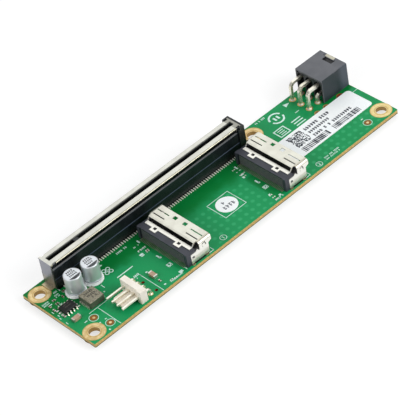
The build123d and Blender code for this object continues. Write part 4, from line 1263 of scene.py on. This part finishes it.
@dataclass(frozen=True)
class SolderPads:
    """Every solder pad on the top face.

    Attributes:
        rows: Pads of the slot, the power header, the fan header and the regulator chip.
        chips: Middles of the places for small chip parts, each with a pad at both ends, mm.
        chip_reach: From such a middle to its pads, mm.
        chip_size: Size of their pads, mm.
    """

    rows: tuple[PadRow, ...] = (
        PadRow((11.65, 28.15), (1.0, 0.0), 11, (0.48, 1.15, 0.12)),
        PadRow((24.65, 28.15), (1.0, 0.0), 71, (0.48, 1.15, 0.12)),
        PadRow((11.65, 36.35), (1.0, 0.0), 11, (0.56, 0.55, 0.12)),
        PadRow((24.65, 36.35), (1.0, 0.0), 71, (0.56, 0.55, 0.12)),
        PadRow((126.4, 25.85), (0.0, 4.2), 3, (1.75, 1.75, 0.3)),
        PadRow((130.8, 25.85), (0.0, 4.2), 3, (1.75, 1.75, 0.3)),
        PadRow((27.1, 2.49), (0.0, 2.54), 4, (1.2, 1.2, 0.25)),
        PadRow((2.45, 17.495), (0.0, 1.27), 4, (1.1, 0.6, 0.12)),
        PadRow((8.35, 17.495), (0.0, 1.27), 4, (1.1, 0.6, 0.12)),
    )
    chips: tuple[Place, ...] = (
        (10.1, 26.6), (5.0, 26.0), (4.75, 23.9), (2.6, 19.9), (36.0, 1.9), (37.6, 1.5),
        (38.9, 20.9), (40.9, 20.9), (40.4, 18.3), (86.6, 20.4), (87.8, 20.4), (86.9, 18.9),
        (85.4, 1.6), (85.4, 3.1), (85.4, 4.6), (86.7, 24.2),
    )
    chip_reach: float = 0.4
    chip_size: Point = (0.5, 0.55, 0.07)

    def build(self, metal: bpy.types.Material) -> None:
        """Stamps a solder mound on every place with Geometry Nodes.

        Args:
            metal: Material of the solder.
        """
        tree = GeometryTree("solder_pads", {"Pad Shape": "Object", "Material": "Material"})
        info = tree.node("GeometryNodeObjectInfo")
        tree.link(tree.named["Pad Shape"], info.inputs["Object"])
        size = tree.node("GeometryNodeInputNamedAttribute", data_type="FLOAT_VECTOR")
        size.inputs["Name"].default_value = "pad_size"
        tree.close([tree.stamp(tree.entry.outputs["Geometry"], size.outputs["Attribute"],
                               info.outputs["Geometry"])])
        pads = [(place, row.size) for row in self.rows for place in row.places()]
        pads += [((x + side, y), self.chip_size) for x, y in self.chips
                 for side in (-self.chip_reach, self.chip_reach)]
        points = plain_mesh("pad_places", [spot(*place) for place, _ in pads], [])
        attribute = points.attributes.new("pad_size", "FLOAT_VECTOR", "POINT")
        for item, (_, sides) in zip(attribute.data, pads):
            item.vector = [side * MM for side in sides]
        template = mound()
        mesh = tree.run({"Pad Shape": template, "Material": metal}, points)
        bpy.data.objects.remove(template)
        show("solder_pads", mesh, metal)


@dataclass(frozen=True)
class TextRow:
    """Row of meaningless strokes that stands for small text.

    Attributes:
        start: Left end of its middle line, mm.
        length: Length of the row, mm.
        height: Letter height, mm.
    """

    start: Place
    length: float
    height: float


class PrintTrees:
    """Geometry Nodes trees of the repeated printed marks."""

    # Width of a letter's place, as a share of its height.
    LETTER_PLACE = 0.72
    # Share of the letters and of the modules that are left out.
    SPACES, EMPTY_MODULES = 0.13, 0.48
    # Random shift, lowest and highest place of each short arm, as a share of the letter height.
    ARMS = ((11, -0.38, 0.0), (23, 0.05, 0.38))
    # How far an arm stands to the right, and how tall it is, as shares of the pitch and height.
    ARM_ASIDE, ARM_HEIGHT = 0.3, 0.24
    # Shortest and longest arm, and thinnest and thickest bar, as shares of the pitch.
    ARM_REACH, BAR_WIDTH = (0.3, 0.5), (0.2, 1.0)

    def __init__(self) -> None:
        """Builds the three trees."""
        self.text = self._text_tree()
        self.bars = self._bar_tree()
        self.modules = self._module_tree()

    def _text_tree(self) -> GeometryTree:
        """Builds the letters of a text row: upright strokes with short arms.

        Returns:
            The tree.
        """
        tree = GeometryTree("greeked_text", {
            "Number": "Int", "Pitch": "Float", "Letter Height": "Float", "Ink Thickness": "Float",
            "Weight": "Float", "Place": "Vector", "Seed": "Int", "Material": "Material"})
        _, pitch, height, thick, weight, *_ = tree.named.values()
        letters = tree.thin_out(tree.row(), self.SPACES, 1)
        stroke = tree.sum("MULTIPLY", pitch, weight)
        pieces = [tree.stamp(letters, tree.vector(stroke, height, thick))]
        for shift, low, high in self.ARMS:
            lifted = tree.node("GeometryNodeSetPosition")
            tree.link(letters, lifted.inputs["Geometry"])
            rise = tree.sum("MULTIPLY", height, tree.chance(low, high, shift))
            aside = tree.sum("MULTIPLY", pitch, self.ARM_ASIDE)
            tree.link(tree.vector(aside, rise, 0.0), lifted.inputs["Offset"])
            reach = tree.sum("MULTIPLY", pitch, tree.chance(*self.ARM_REACH, shift + 5))
            tall = tree.sum("MULTIPLY", height, self.ARM_HEIGHT)
            pieces.append(tree.stamp(lifted.outputs["Geometry"], tree.vector(reach, tall, thick)))
        tree.close(pieces)
        return tree

    def _bar_tree(self) -> GeometryTree:
        """Builds the row of upright bars of random width.

        Returns:
            The tree.
        """
        tree = GeometryTree("bar_block", {
            "Number": "Int", "Pitch": "Float", "Bar Height": "Float", "Ink Thickness": "Float",
            "Place": "Vector", "Seed": "Int", "Material": "Material"})
        _, pitch, height, thick, *_ = tree.named.values()
        width = tree.sum("MULTIPLY", pitch, tree.chance(*self.BAR_WIDTH, 3))
        tree.close([tree.stamp(tree.row(), tree.vector(width, height, thick))])
        return tree

    def _module_tree(self) -> GeometryTree:
        """Builds the square field of little squares, some left out at random.

        Returns:
            The tree.
        """
        tree = GeometryTree("module_block", {
            "Modules": "Int", "Block Width": "Float", "Ink Thickness": "Float",
            "Place": "Vector", "Seed": "Int", "Material": "Material"})
        rows, width, thick, *_ = tree.named.values()
        grid = tree.node("GeometryNodeMeshGrid")
        for axis in ("X", "Y"):
            tree.link(width, grid.inputs[f"Size {axis}"])
            tree.link(rows, grid.inputs[f"Vertices {axis}"])
        kept = tree.thin_out(grid.outputs["Mesh"], self.EMPTY_MODULES, 2)
        side = tree.sum("DIVIDE", width, rows)
        tree.close([tree.stamp(kept, tree.vector(side, side, thick))])
        return tree

    def text_row(self, row: TextRow, layer: Layer, seed: int, ink: bpy.types.Material,
                 weight: float = 0.37) -> bpy.types.Mesh:
        """Runs the text tree for one row.

        Args:
            row: Place and sizes.
            layer: Surface that carries the row.
            seed: Picks the random strokes.
            ink: Material.
            weight: Stroke width, as a share of the letter pitch.

        Returns:
            The row's mesh.
        """
        letters = max(int(row.length / (row.height * self.LETTER_PLACE)), 2)
        pitch = row.length / letters
        x, y = row.start
        return self.text.run({
            "Number": letters, "Pitch": pitch * MM, "Letter Height": row.height * MM,
            "Ink Thickness": INK_THICKNESS * MM, "Weight": weight,
            "Place": spot(x + pitch / 2, y, layer.ink_middle()), "Seed": seed, "Material": ink})


@dataclass(frozen=True)
class Numeral:
    """Circled number that reads from the board's front edge.

    Attributes:
        centre: Middle of the circle, mm.
        strokes: Start, end and width of its straight strokes, mm from the centre.
        bow: Rise over the centre, radius, width, start and sweep of its round head, if any.
        circle: Radius and stroke width of the circle, mm.
    """

    centre: Place
    strokes: tuple[tuple[Place, Place, float], ...]
    bow: tuple[float, float, float, float, float] | None = None
    circle: Place = (1.2, 0.2)

    def draw(self, sheet: InkSheet) -> None:
        """Draws the circle and the number.

        Args:
            sheet: Sheet that takes them.
        """
        x, y = self.centre
        sheet.arc(self.centre, *self.circle)
        if self.bow:
            rise, *rest = self.bow
            sheet.arc((x, y + rise), *rest)
        for start, end, width in self.strokes:
            sheet.line((x + start[0], y + start[1]), (x + end[0], y + end[1]), width)


@dataclass(frozen=True)
class PlainSigns:
    """Plain signs by the power header: a split ring, an arrow, a box and three bars.

    Attributes:
        ring: Middle of the ring, mm.
        ring_size: Radius and stroke width of its halves, mm.
        ring_starts: Where its halves start, degrees.
        ring_sweep: How far each half goes, degrees.
        ring_bars: Distance from the middle, length and width of the two bars in it, mm.
        arrow: Corners of the arrow, mm.
        box: Left and right, then front and back of the box, mm.
        box_stroke: Its stroke width, mm.
        bars: Middle of the first bar, step to the next, length and width of each set of three, mm.
    """

    ring: Place = (115.5, 31.7)
    ring_size: Place = (2.75, 0.7)
    ring_starts: Place = (20.0, 200.0)
    ring_sweep: float = 152.0
    ring_bars: Point = (0.75, 0.8, 1.9)
    arrow: tuple[Place, ...] = ((122.0, 33.1), (124.4, 34.1), (122.0, 35.1))
    box: tuple[Place, Place] = ((109.2, 113.8), (22.9, 26.9))
    box_stroke: float = 0.45
    bars: tuple[tuple[Place, float, float, float], ...] = (
        ((111.5, 23.9), 1.0, 2.6, 0.35), ((119.2, 22.9), 1.4, 4.4, 0.5))

    def draw(self, sheet: InkSheet) -> None:
        """Draws the signs.

        Args:
            sheet: Sheet that takes them.
        """
        for start in self.ring_starts:
            sheet.arc(self.ring, *self.ring_size, start, self.ring_sweep)
        reach, length, width = self.ring_bars
        for side in (-reach, reach):
            sheet.box(self.ring[0] + side, self.ring[1], length, width)
        sheet.shape(list(self.arrow))
        sheet.outline(*self.box, self.box_stroke)
        for (x, y), step, length, width in self.bars:
            for i in range(3):
                sheet.box(x, y + step * i, length, width)


@dataclass(frozen=True)
class BoardPrint:
    """White print on the board's top face.

    Attributes:
        stroke: Usual line width, mm.
        text: Greeked rows.
        seed: Random seed of the first row.
        marks: Middle x and y, length and width of the short strokes, mm.
        boxes: Left and right, then front and back of the small boxes, mm.
        rounds: Middle and radius of the small rings, mm.
        round_stroke: Their stroke width, mm.
        lines: Start and end of the lines around the fan header, mm.
        square: Left and right, then front and back of the square around the sticker, mm.
        square_stroke: Its stroke width, mm.
        numerals: Circled 1 and 2 by the sockets.
        signs: Plain signs by the power header.
    """

    stroke: float = 0.22
    text: tuple[TextRow, ...] = tuple(TextRow(*row) for row in (
        ((6.9, 28.8), 2.6, 0.7), ((6.2, 27.5), 2.3, 0.6), ((6.2, 26.6), 2.2, 0.6),
        ((0.6, 27.3), 2.8, 0.6), ((0.6, 26.4), 2.6, 0.6), ((3.5, 23.0), 2.4, 0.5),
        ((32.6, 25.9), 4.7, 0.9), ((108.4, 35.5), 4.8, 0.8),
        ((110.1, 3.0), 7.8, 0.7), ((110.1, 1.9), 6.6, 0.7), ((38.2, 23.3), 2.4, 0.6),
        ((86.3, 22.4), 2.2, 0.6), ((28.9, 13.0), 2.3, 0.7), ((29.0, 11.6), 2.2, 0.7),
        ((37.9, 20.7), 3.5, 0.8), ((84.4, 1.4), 3.8, 0.8), ((35.0, 1.3), 5.6, 0.7),
    ))
    seed: int = 40
    marks: tuple[tuple[float, float, float, float], ...] = (
        (28.8, 17.1, 7.0, 0.42), (6.3, 29.8, 0.5, 0.9), (9.3, 28.4, 0.4, 0.8),
        (3.0, 25.4, 0.9, 0.4), (1.2, 19.4, 0.35, 0.9), (0.9, 22.0, 0.25, 1.1),
        (0.7, 18.0, 0.25, 1.0), (0.7, 14.5, 0.25, 1.2), (5.1, 10.1, 1.2, 0.3),
        (10.1, 5.9, 0.7, 0.35), (7.7, 6.0, 0.5, 0.5), (7.7, 1.2, 0.5, 0.6),
        (133.1, 6.6, 0.9, 0.4), (25.7, 26.0, 0.9, 0.5), (19.6, 18.0, 0.25, 2.0),
        (18.2, 15.7, 0.5, 0.5), (33.2, 11.2, 0.8, 0.6), (33.2, 2.0, 0.8, 0.6),
        (40.6, 2.2, 1.6, 1.1), (37.9, 18.9, 1.5, 0.8), (37.9, 18.1, 1.3, 0.5),
        (40.7, 13.5, 0.6, 1.9), (40.9, 12.6, 0.8, 0.7), (41.5, 24.4, 0.6, 1.6),
        (88.1, 24.4, 0.6, 1.7), (87.4, 13.4, 0.6, 1.9), (87.6, 12.4, 0.8, 0.6),
        (86.2, 18.7, 0.7, 1.0), (86.9, 20.1, 1.5, 0.6), (85.3, 5.2, 0.8, 0.5),
        (87.5, 2.2, 0.9, 0.9), (54.55, 1.8, 0.25, 1.6), (53.6, 0.95, 2.0, 0.25),
        (101.1, 1.9, 0.25, 1.7), (100.1, 0.95, 2.0, 0.25), (42.7, 2.0, 0.25, 1.2),
        (122.6, 28.3, 1.9, 0.28), (143.1, 19.5, 2.9, 0.2),
    )
    boxes: tuple[tuple[Place, Place], ...] = (
        ((39.6, 41.2), (6.9, 8.4)), ((86.5, 88.1), (8.3, 9.8)))
    rounds: tuple[tuple[Place, float], ...] = (
        ((24.6, 23.2), 0.68), ((26.2, 23.0), 0.68), ((24.7, 21.5), 0.68), ((26.3, 21.3), 0.68),
        ((40.4, 7.8), 0.55), ((87.3, 9.1), 0.5))
    round_stroke: float = 0.3
    lines: tuple[tuple[Place, Place], ...] = (
        ((8.2, 12.0), (16.1, 12.0)), ((11.85, 0.3), (11.85, 12.0)),
        ((31.0, 0.3), (31.0, 12.5)), ((24.0, 12.5), (31.0, 12.5)))
    square: tuple[Place, Place] = ((68.0, 77.7), (8.8, 18.2))
    square_stroke: float = 0.24
    numerals: tuple[Numeral, ...] = (
        Numeral((60.7, 2.6), (((0.0, -0.65), (0.0, 0.65), 0.22),
                              ((-0.35, 0.35), (0.0, 0.62), 0.2))),
        Numeral((107.0, 2.3), (((0.28, 0.1), (-0.36, -0.58), 0.2),
                               ((-0.4, -0.6), (0.42, -0.6), 0.2)),
                (0.28, 0.33, 0.2, -30.0, 200.0)))
    signs: PlainSigns = PlainSigns()

    def build(self, trees: PrintTrees, ink: bpy.types.Material) -> None:
        """Draws lines, boxes, rounds, numerals, signs and greeked rows.

        Args:
            trees: Trees of the repeated marks.
            ink: Material of the print.
        """
        sheet = InkSheet(Layer.BOARD)
        for mark in self.marks:
            sheet.box(*mark)
        for xs, ys in self.boxes:
            sheet.outline(xs, ys, self.stroke)
        for centre, radius in self.rounds:
            sheet.arc(centre, radius, self.round_stroke)
        for start, end in self.lines:
            sheet.line(start, end, self.stroke)
        sheet.outline(*self.square, self.square_stroke)
        for drawing in (*self.numerals, self.signs):
            drawing.draw(sheet)
        rows = [trees.text_row(row, Layer.BOARD, self.seed + i, ink)
                for i, row in enumerate(self.text)]
        show("board_print", merge("board_print", [sheet.mesh("marks"), *rows]), ink)


@dataclass(frozen=True)
class AlignmentTargets:
    """Round windows in the mask around the three bare metal dots.

    Attributes:
        places: Middles, mm.
        window: Radius of the brown window, mm.
        ring: Radius of the printed ring, mm.
        stroke: Stroke width of the ring, mm.
    """

    places: tuple[Place, ...] = ((7.9, 9.4), (9.9, 3.4), (133.1, 3.8))
    window: float = 1.3
    ring: float = 1.62
    stroke: float = 0.18

    def build(self, bare: bpy.types.Material, ink: bpy.types.Material) -> None:
        """Makes the brown windows and their printed rings.

        Args:
            bare: Material of the bare laminate.
            ink: Material of the print.
        """
        windows, rings = InkSheet(Layer.BOARD), InkSheet(Layer.BOARD)
        for centre in self.places:
            windows.disc(centre, self.window)
            rings.arc(centre, self.ring, self.stroke)
        show("target_windows", windows.mesh("target_windows"), bare)
        show("target_rings", rings.mesh("target_rings"), ink)


@dataclass(frozen=True)
class LabelPrint:
    """Print on the long white label: module block, bars and greeked rows.

    Attributes:
        block: Middle of the module block, mm.
        modules: Modules along its side.
        block_width: Its side, mm.
        block_seed: Its random seed.
        corners: Middles of its three corner squares, mm.
        corner_half: Half the side of such a square, mm.
        corner_stroke: Its stroke width, mm.
        bars: Left end, number, pitch, height and seed of both fields of bars, mm.
        bars_line: Middle line of the bars, mm from the front edge.
        text: Greeked rows.
        seed: Random seed of the first row.
        weight: Stroke width of the rows, as a share of the letter pitch.
    """

    block: Place = (112.15, 17.1)
    modules: int = 17
    block_width: float = 6.4
    block_seed: int = 7
    corners: tuple[Place, ...] = ((109.9, 14.9), (109.9, 19.4), (114.4, 19.4))
    corner_half: float = 0.75
    corner_stroke: float = 0.38
    bars: tuple[tuple[float, int, float, float, int], ...] = (
        (108.9, 17, 0.76, 2.7, 12), (124.2, 19, 0.70, 2.5, 15))
    bars_line: float = 11.55
    text: tuple[TextRow, ...] = (
        TextRow((116.5, 19.1), 13.5, 1.5), TextRow((116.5, 16.7), 10.1, 1.3),
        TextRow((116.5, 14.3), 19.0, 1.4))
    seed: int = 90
    weight: float = 0.42

    def build(self, trees: PrintTrees, ink: bpy.types.Material) -> None:
        """Runs the trees for every printed field.

        Args:
            trees: Trees of the repeated marks.
            ink: Material of the print.
        """
        height = Layer.LABEL.ink_middle()
        shared = {"Ink Thickness": INK_THICKNESS * MM, "Material": ink}
        fields = [trees.modules.run({
            **shared, "Modules": self.modules, "Block Width": self.block_width * MM,
            "Seed": self.block_seed, "Place": spot(*self.block, height)})]
        fields += [trees.bars.run({
            **shared, "Number": count, "Pitch": pitch * MM, "Bar Height": tall * MM,
            "Seed": seed, "Place": spot(x, self.bars_line, height)})
            for x, count, pitch, tall, seed in self.bars]
        fields += [trees.text_row(row, Layer.LABEL, self.seed + i, ink, self.weight)
                   for i, row in enumerate(self.text)]
        corners, half = InkSheet(Layer.LABEL), self.corner_half
        for x, y in self.corners:
            corners.outline((x - half, x + half), (y - half, y + half), self.corner_stroke)
        fields.append(corners.mesh("corners"))
        show("label_print", merge("label_print", fields), ink)


@dataclass(frozen=True)
class StickerPrint:
    """Two greeked rows on the small round sticker.

    Attributes:
        centre: Middle of the sticker, mm.
        rows: Length, rise over the middle and letter height of each row, mm.
        seed: Random seed of the first row.
        weight: Stroke width, as a share of the letter pitch.
    """

    centre: Place = (72.9, 13.4)
    rows: tuple[Point, ...] = ((2.6, 1.5, 1.4), (5.2, -0.9, 1.8))
    seed: int = 130
    weight: float = 0.34

    def build(self, trees: PrintTrees, ink: bpy.types.Material) -> None:
        """Makes the two rows.

        Args:
            trees: Trees of the repeated marks.
            ink: Material of the print.
        """
        x, y = self.centre
        rows = [trees.text_row(TextRow((x - length / 2, y + rise), length, size), Layer.STICKER,
                               self.seed + i, ink, self.weight)
                for i, (length, rise, size) in enumerate(self.rows)]
        show("sticker_print", merge("sticker_print", rows), ink)


@dataclass(frozen=True)
class CanPrint:
    """Dark half-moon and three greeked rows on top of both can capacitors.

    Attributes:
        centres: Middles of the cans, mm.
        radius: Radius of the half-moon, mm.
        chord: Its straight side, mm behind the middle.
        steps: Straight pieces of its round side.
        rows: Length and rise over the middle of each row, mm.
        height: Letter height, mm.
        seeds: Random seed of the first row on each can.
        weight: Stroke width, as a share of the letter pitch.
    """

    centres: tuple[Place, ...] = ((12.45, 23.35), (19.9, 23.15))
    radius: float = 2.72
    chord: float = -1.45
    steps: int = 16
    rows: tuple[Place, ...] = ((3.35, -0.55), (3.35, 0.55), (2.85, 1.6))
    height: float = 0.8
    seeds: tuple[int, int] = (160, 170)
    weight: float = 0.42

    def build(self, trees: PrintTrees, ink: bpy.types.Material) -> None:
        """Makes the marks of both cans.

        Args:
            trees: Trees of the repeated marks.
            ink: Material of the print.
        """
        sheet = InkSheet(Layer.CAN)
        half = math.acos(-self.chord / self.radius)
        angles = [-math.pi / 2 - half + 2 * half * i / self.steps for i in range(self.steps + 1)]
        rows = []
        for (x, y), seed in zip(self.centres, self.seeds):
            sheet.shape([(x + self.radius * math.cos(a), y + self.radius * math.sin(a))
                         for a in angles])
            rows += [trees.text_row(TextRow((x - length / 2, y + rise), length, self.height),
                                    Layer.CAN, seed + i, ink, self.weight)
                     for i, (length, rise) in enumerate(self.rows)]
        show("can_print", merge("can_print", [sheet.mesh("can_marks"), *rows]), ink)


@dataclass(frozen=True)
class TopMarks:
    """Faint greeked rows on the choke and on the regulator chip.

    Attributes:
        rows: Surface, random seed and row.
    """

    rows: tuple[tuple[Layer, int, TextRow], ...] = (
        (Layer.CHOKE, 210, TextRow((11.1, 17.3), 3.6, 1.0)),
        (Layer.CHOKE, 211, TextRow((11.1, 15.8), 3.6, 1.0)),
        (Layer.CHOKE, 214, TextRow((11.5, 14.4), 2.8, 0.9)),
        (Layer.CHIP, 212, TextRow((4.1, 20.2), 2.6, 0.6)),
        (Layer.CHIP, 213, TextRow((4.1, 19.2), 2.6, 0.6)))

    def build(self, trees: PrintTrees, ink: bpy.types.Material) -> None:
        """Makes the rows.

        Args:
            trees: Trees of the repeated marks.
            ink: Material of the print.
        """
        rows = [trees.text_row(row, layer, seed, ink) for layer, seed, row in self.rows]
        show("top_marks", merge("top_marks", rows), ink)


@dataclass(frozen=True)
class Lamp:
    """One soft lamp.

    Attributes:
        name: Object name.
        place: Where it hangs, m.
        size: Side of its square, m.
        power: Watts.
    """

    name: str
    place: Point
    size: float
    power: float

    def hang(self, target: Point) -> None:
        """Hangs the lamp.

        Args:
            target: Point that it faces, m.
        """
        data = bpy.data.lights.new(self.name, "AREA")
        data.shape = "SQUARE"
        data.size = self.size
        data.energy = self.power
        hung = bpy.data.objects.new(self.name, data)
        hung.location = self.place
        aim = Vector(target) - Vector(self.place)
        hung.rotation_euler = aim.to_track_quat("-Z", "Y").to_euler()
        bpy.context.scene.collection.objects.link(hung)


@dataclass(frozen=True)
class Studio:
    """White floor, plain light and the camera.

    Attributes:
        floor_z: Height of the floor, m.
        floor_half: Half its side, m.
        floor_grey: Share of the light that it gives back, which sets how dark the shadow is.
        floor_glow: Light that the camera and reflections see it add, so that it comes out white.
        lamps: The soft lamps.
        target: Point that they face, m.
        fill: Colour of the light from all around.
        fill_strength: Its strength.
        eye: Place of the camera, m.
        axes: Its right, up and back directions.
        lens: Focal length, mm.
        sensor: Width of the sensor, mm.
        clip: Nearest and farthest distance that it sees, m.
    """

    floor_z: float = -0.0012
    floor_half: float = 2.0
    floor_grey: float = 0.40
    floor_glow: float = 0.66
    lamps: tuple[Lamp, ...] = (
        Lamp("lamp_back", (0.40, 0.50, 0.56), 0.9, 2.45),
        Lamp("lamp_left", (-0.62, 0.10, 0.42), 0.45, 2.35),
        Lamp("lamp_front", (0.37, -0.62, 0.46), 0.6, 5.15),
    )
    target: Point = (0.066, 0.014, 0.004)
    fill: Colour = (0.96, 0.98, 1.0)
    fill_strength: float = 0.30
    eye: Point = (-0.255154, -0.419766, 0.477546)
    axes: tuple[Point, Point, Point] = (
        (0.71281474, -0.68604154, -0.14574687),
        (0.54258544, 0.40773877, 0.73440461),
        (-0.44440542, -0.60257456, 0.66287836),
    )
    lens: float = 182.59
    sensor: float = 36.0
    clip: Place = (0.01, 20.0)

    def build(self) -> None:
        """Sets up the floor, the lamps, the surroundings and the camera."""
        self._floor()
        for lamp in self.lamps:
            lamp.hang(self.target)
        self._world()
        self._camera()
        bpy.context.scene.view_settings.view_transform = "Standard"

    def _floor(self) -> None:
        """Makes a white floor that keeps the shadow and vanishes when seen from below."""
        half = self.floor_half
        corners = [(-half, -half), (half, -half), (half, half), (-half, half)]
        mesh = plain_mesh("floor", [(x, y, self.floor_z) for x, y in corners], [(0, 1, 2, 3)])
        floor = bpy.data.objects.new("floor", mesh)
        bpy.context.scene.collection.objects.link(floor)
        material = bpy.data.materials.new("floor_white")
        material.use_nodes = True
        graph = Grower(material.node_tree)
        output = graph.node("ShaderNodeOutputMaterial")
        diffuse = graph.node("ShaderNodeBsdfDiffuse")
        diffuse.inputs["Color"].default_value = (*[self.floor_grey] * 3, 1.0)
        glow = graph.node("ShaderNodeEmission")
        path = graph.node("ShaderNodeLightPath")
        seen = graph.sum("MAXIMUM", path.outputs["Is Camera Ray"], path.outputs["Is Glossy Ray"])
        graph.link(graph.sum("MULTIPLY", seen, self.floor_glow), glow.inputs["Strength"])
        both = graph.node("ShaderNodeAddShader")
        graph.link(diffuse.outputs[0], both.inputs[0])
        graph.link(glow.outputs[0], both.inputs[1])
        clear = graph.node("ShaderNodeBsdfTransparent")
        side = graph.node("ShaderNodeNewGeometry")
        graph.pick(side.outputs["Backfacing"], both.outputs[0], clear.outputs[0],
                   output.inputs["Surface"])
        mesh.materials.append(material)

    def _world(self) -> None:
        """Gives white to the camera and a soft fill light to everything else."""
        world = bpy.data.worlds.new("plain_room")
        bpy.context.scene.world = world
        world.use_nodes = True
        graph = Grower(world.node_tree)
        output = graph.node("ShaderNodeOutputWorld")
        fill, white = (graph.node("ShaderNodeBackground") for _ in range(2))
        fill.inputs["Color"].default_value = (*self.fill, 1.0)
        fill.inputs["Strength"].default_value = self.fill_strength
        white.inputs["Strength"].default_value = 1.0
        path = graph.node("ShaderNodeLightPath")
        graph.pick(path.outputs["Is Camera Ray"], fill.outputs[0], white.outputs[0],
                   output.inputs["Surface"])

    def _camera(self) -> None:
        """Places the camera by its own axes."""
        data = bpy.data.cameras.new("camera")
        data.lens = self.lens
        data.sensor_width = self.sensor
        data.clip_start, data.clip_end = self.clip
        camera = bpy.data.objects.new("camera", data)
        camera.matrix_world = (Matrix.Translation(self.eye)
                               @ Matrix(self.axes).transposed().to_4x4())
        bpy.context.scene.collection.objects.link(camera)
        bpy.context.scene.camera = camera


def main() -> None:
    """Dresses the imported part, adds the print and the pads, and sets the studio."""
    wardrobe = Wardrobe()
    wardrobe.dress()
    trees = PrintTrees()
    silk = plain_material(SILK)
    dark_ink = plain_material(DARK_INK)
    SolderPads().build(wardrobe.by_slot["solder"])
    BoardPrint().build(trees, silk)
    AlignmentTargets().build(plain_material(BARE_BOARD), silk)
    LabelPrint().build(trees, dark_ink)
    StickerPrint().build(trees, plain_material(GREY_INK))
    CanPrint().build(trees, plain_material(CAN_INK))
    TopMarks().build(trees, plain_material(FAINT_INK))
    Studio().build()


if __name__ == "__main__":
    main()
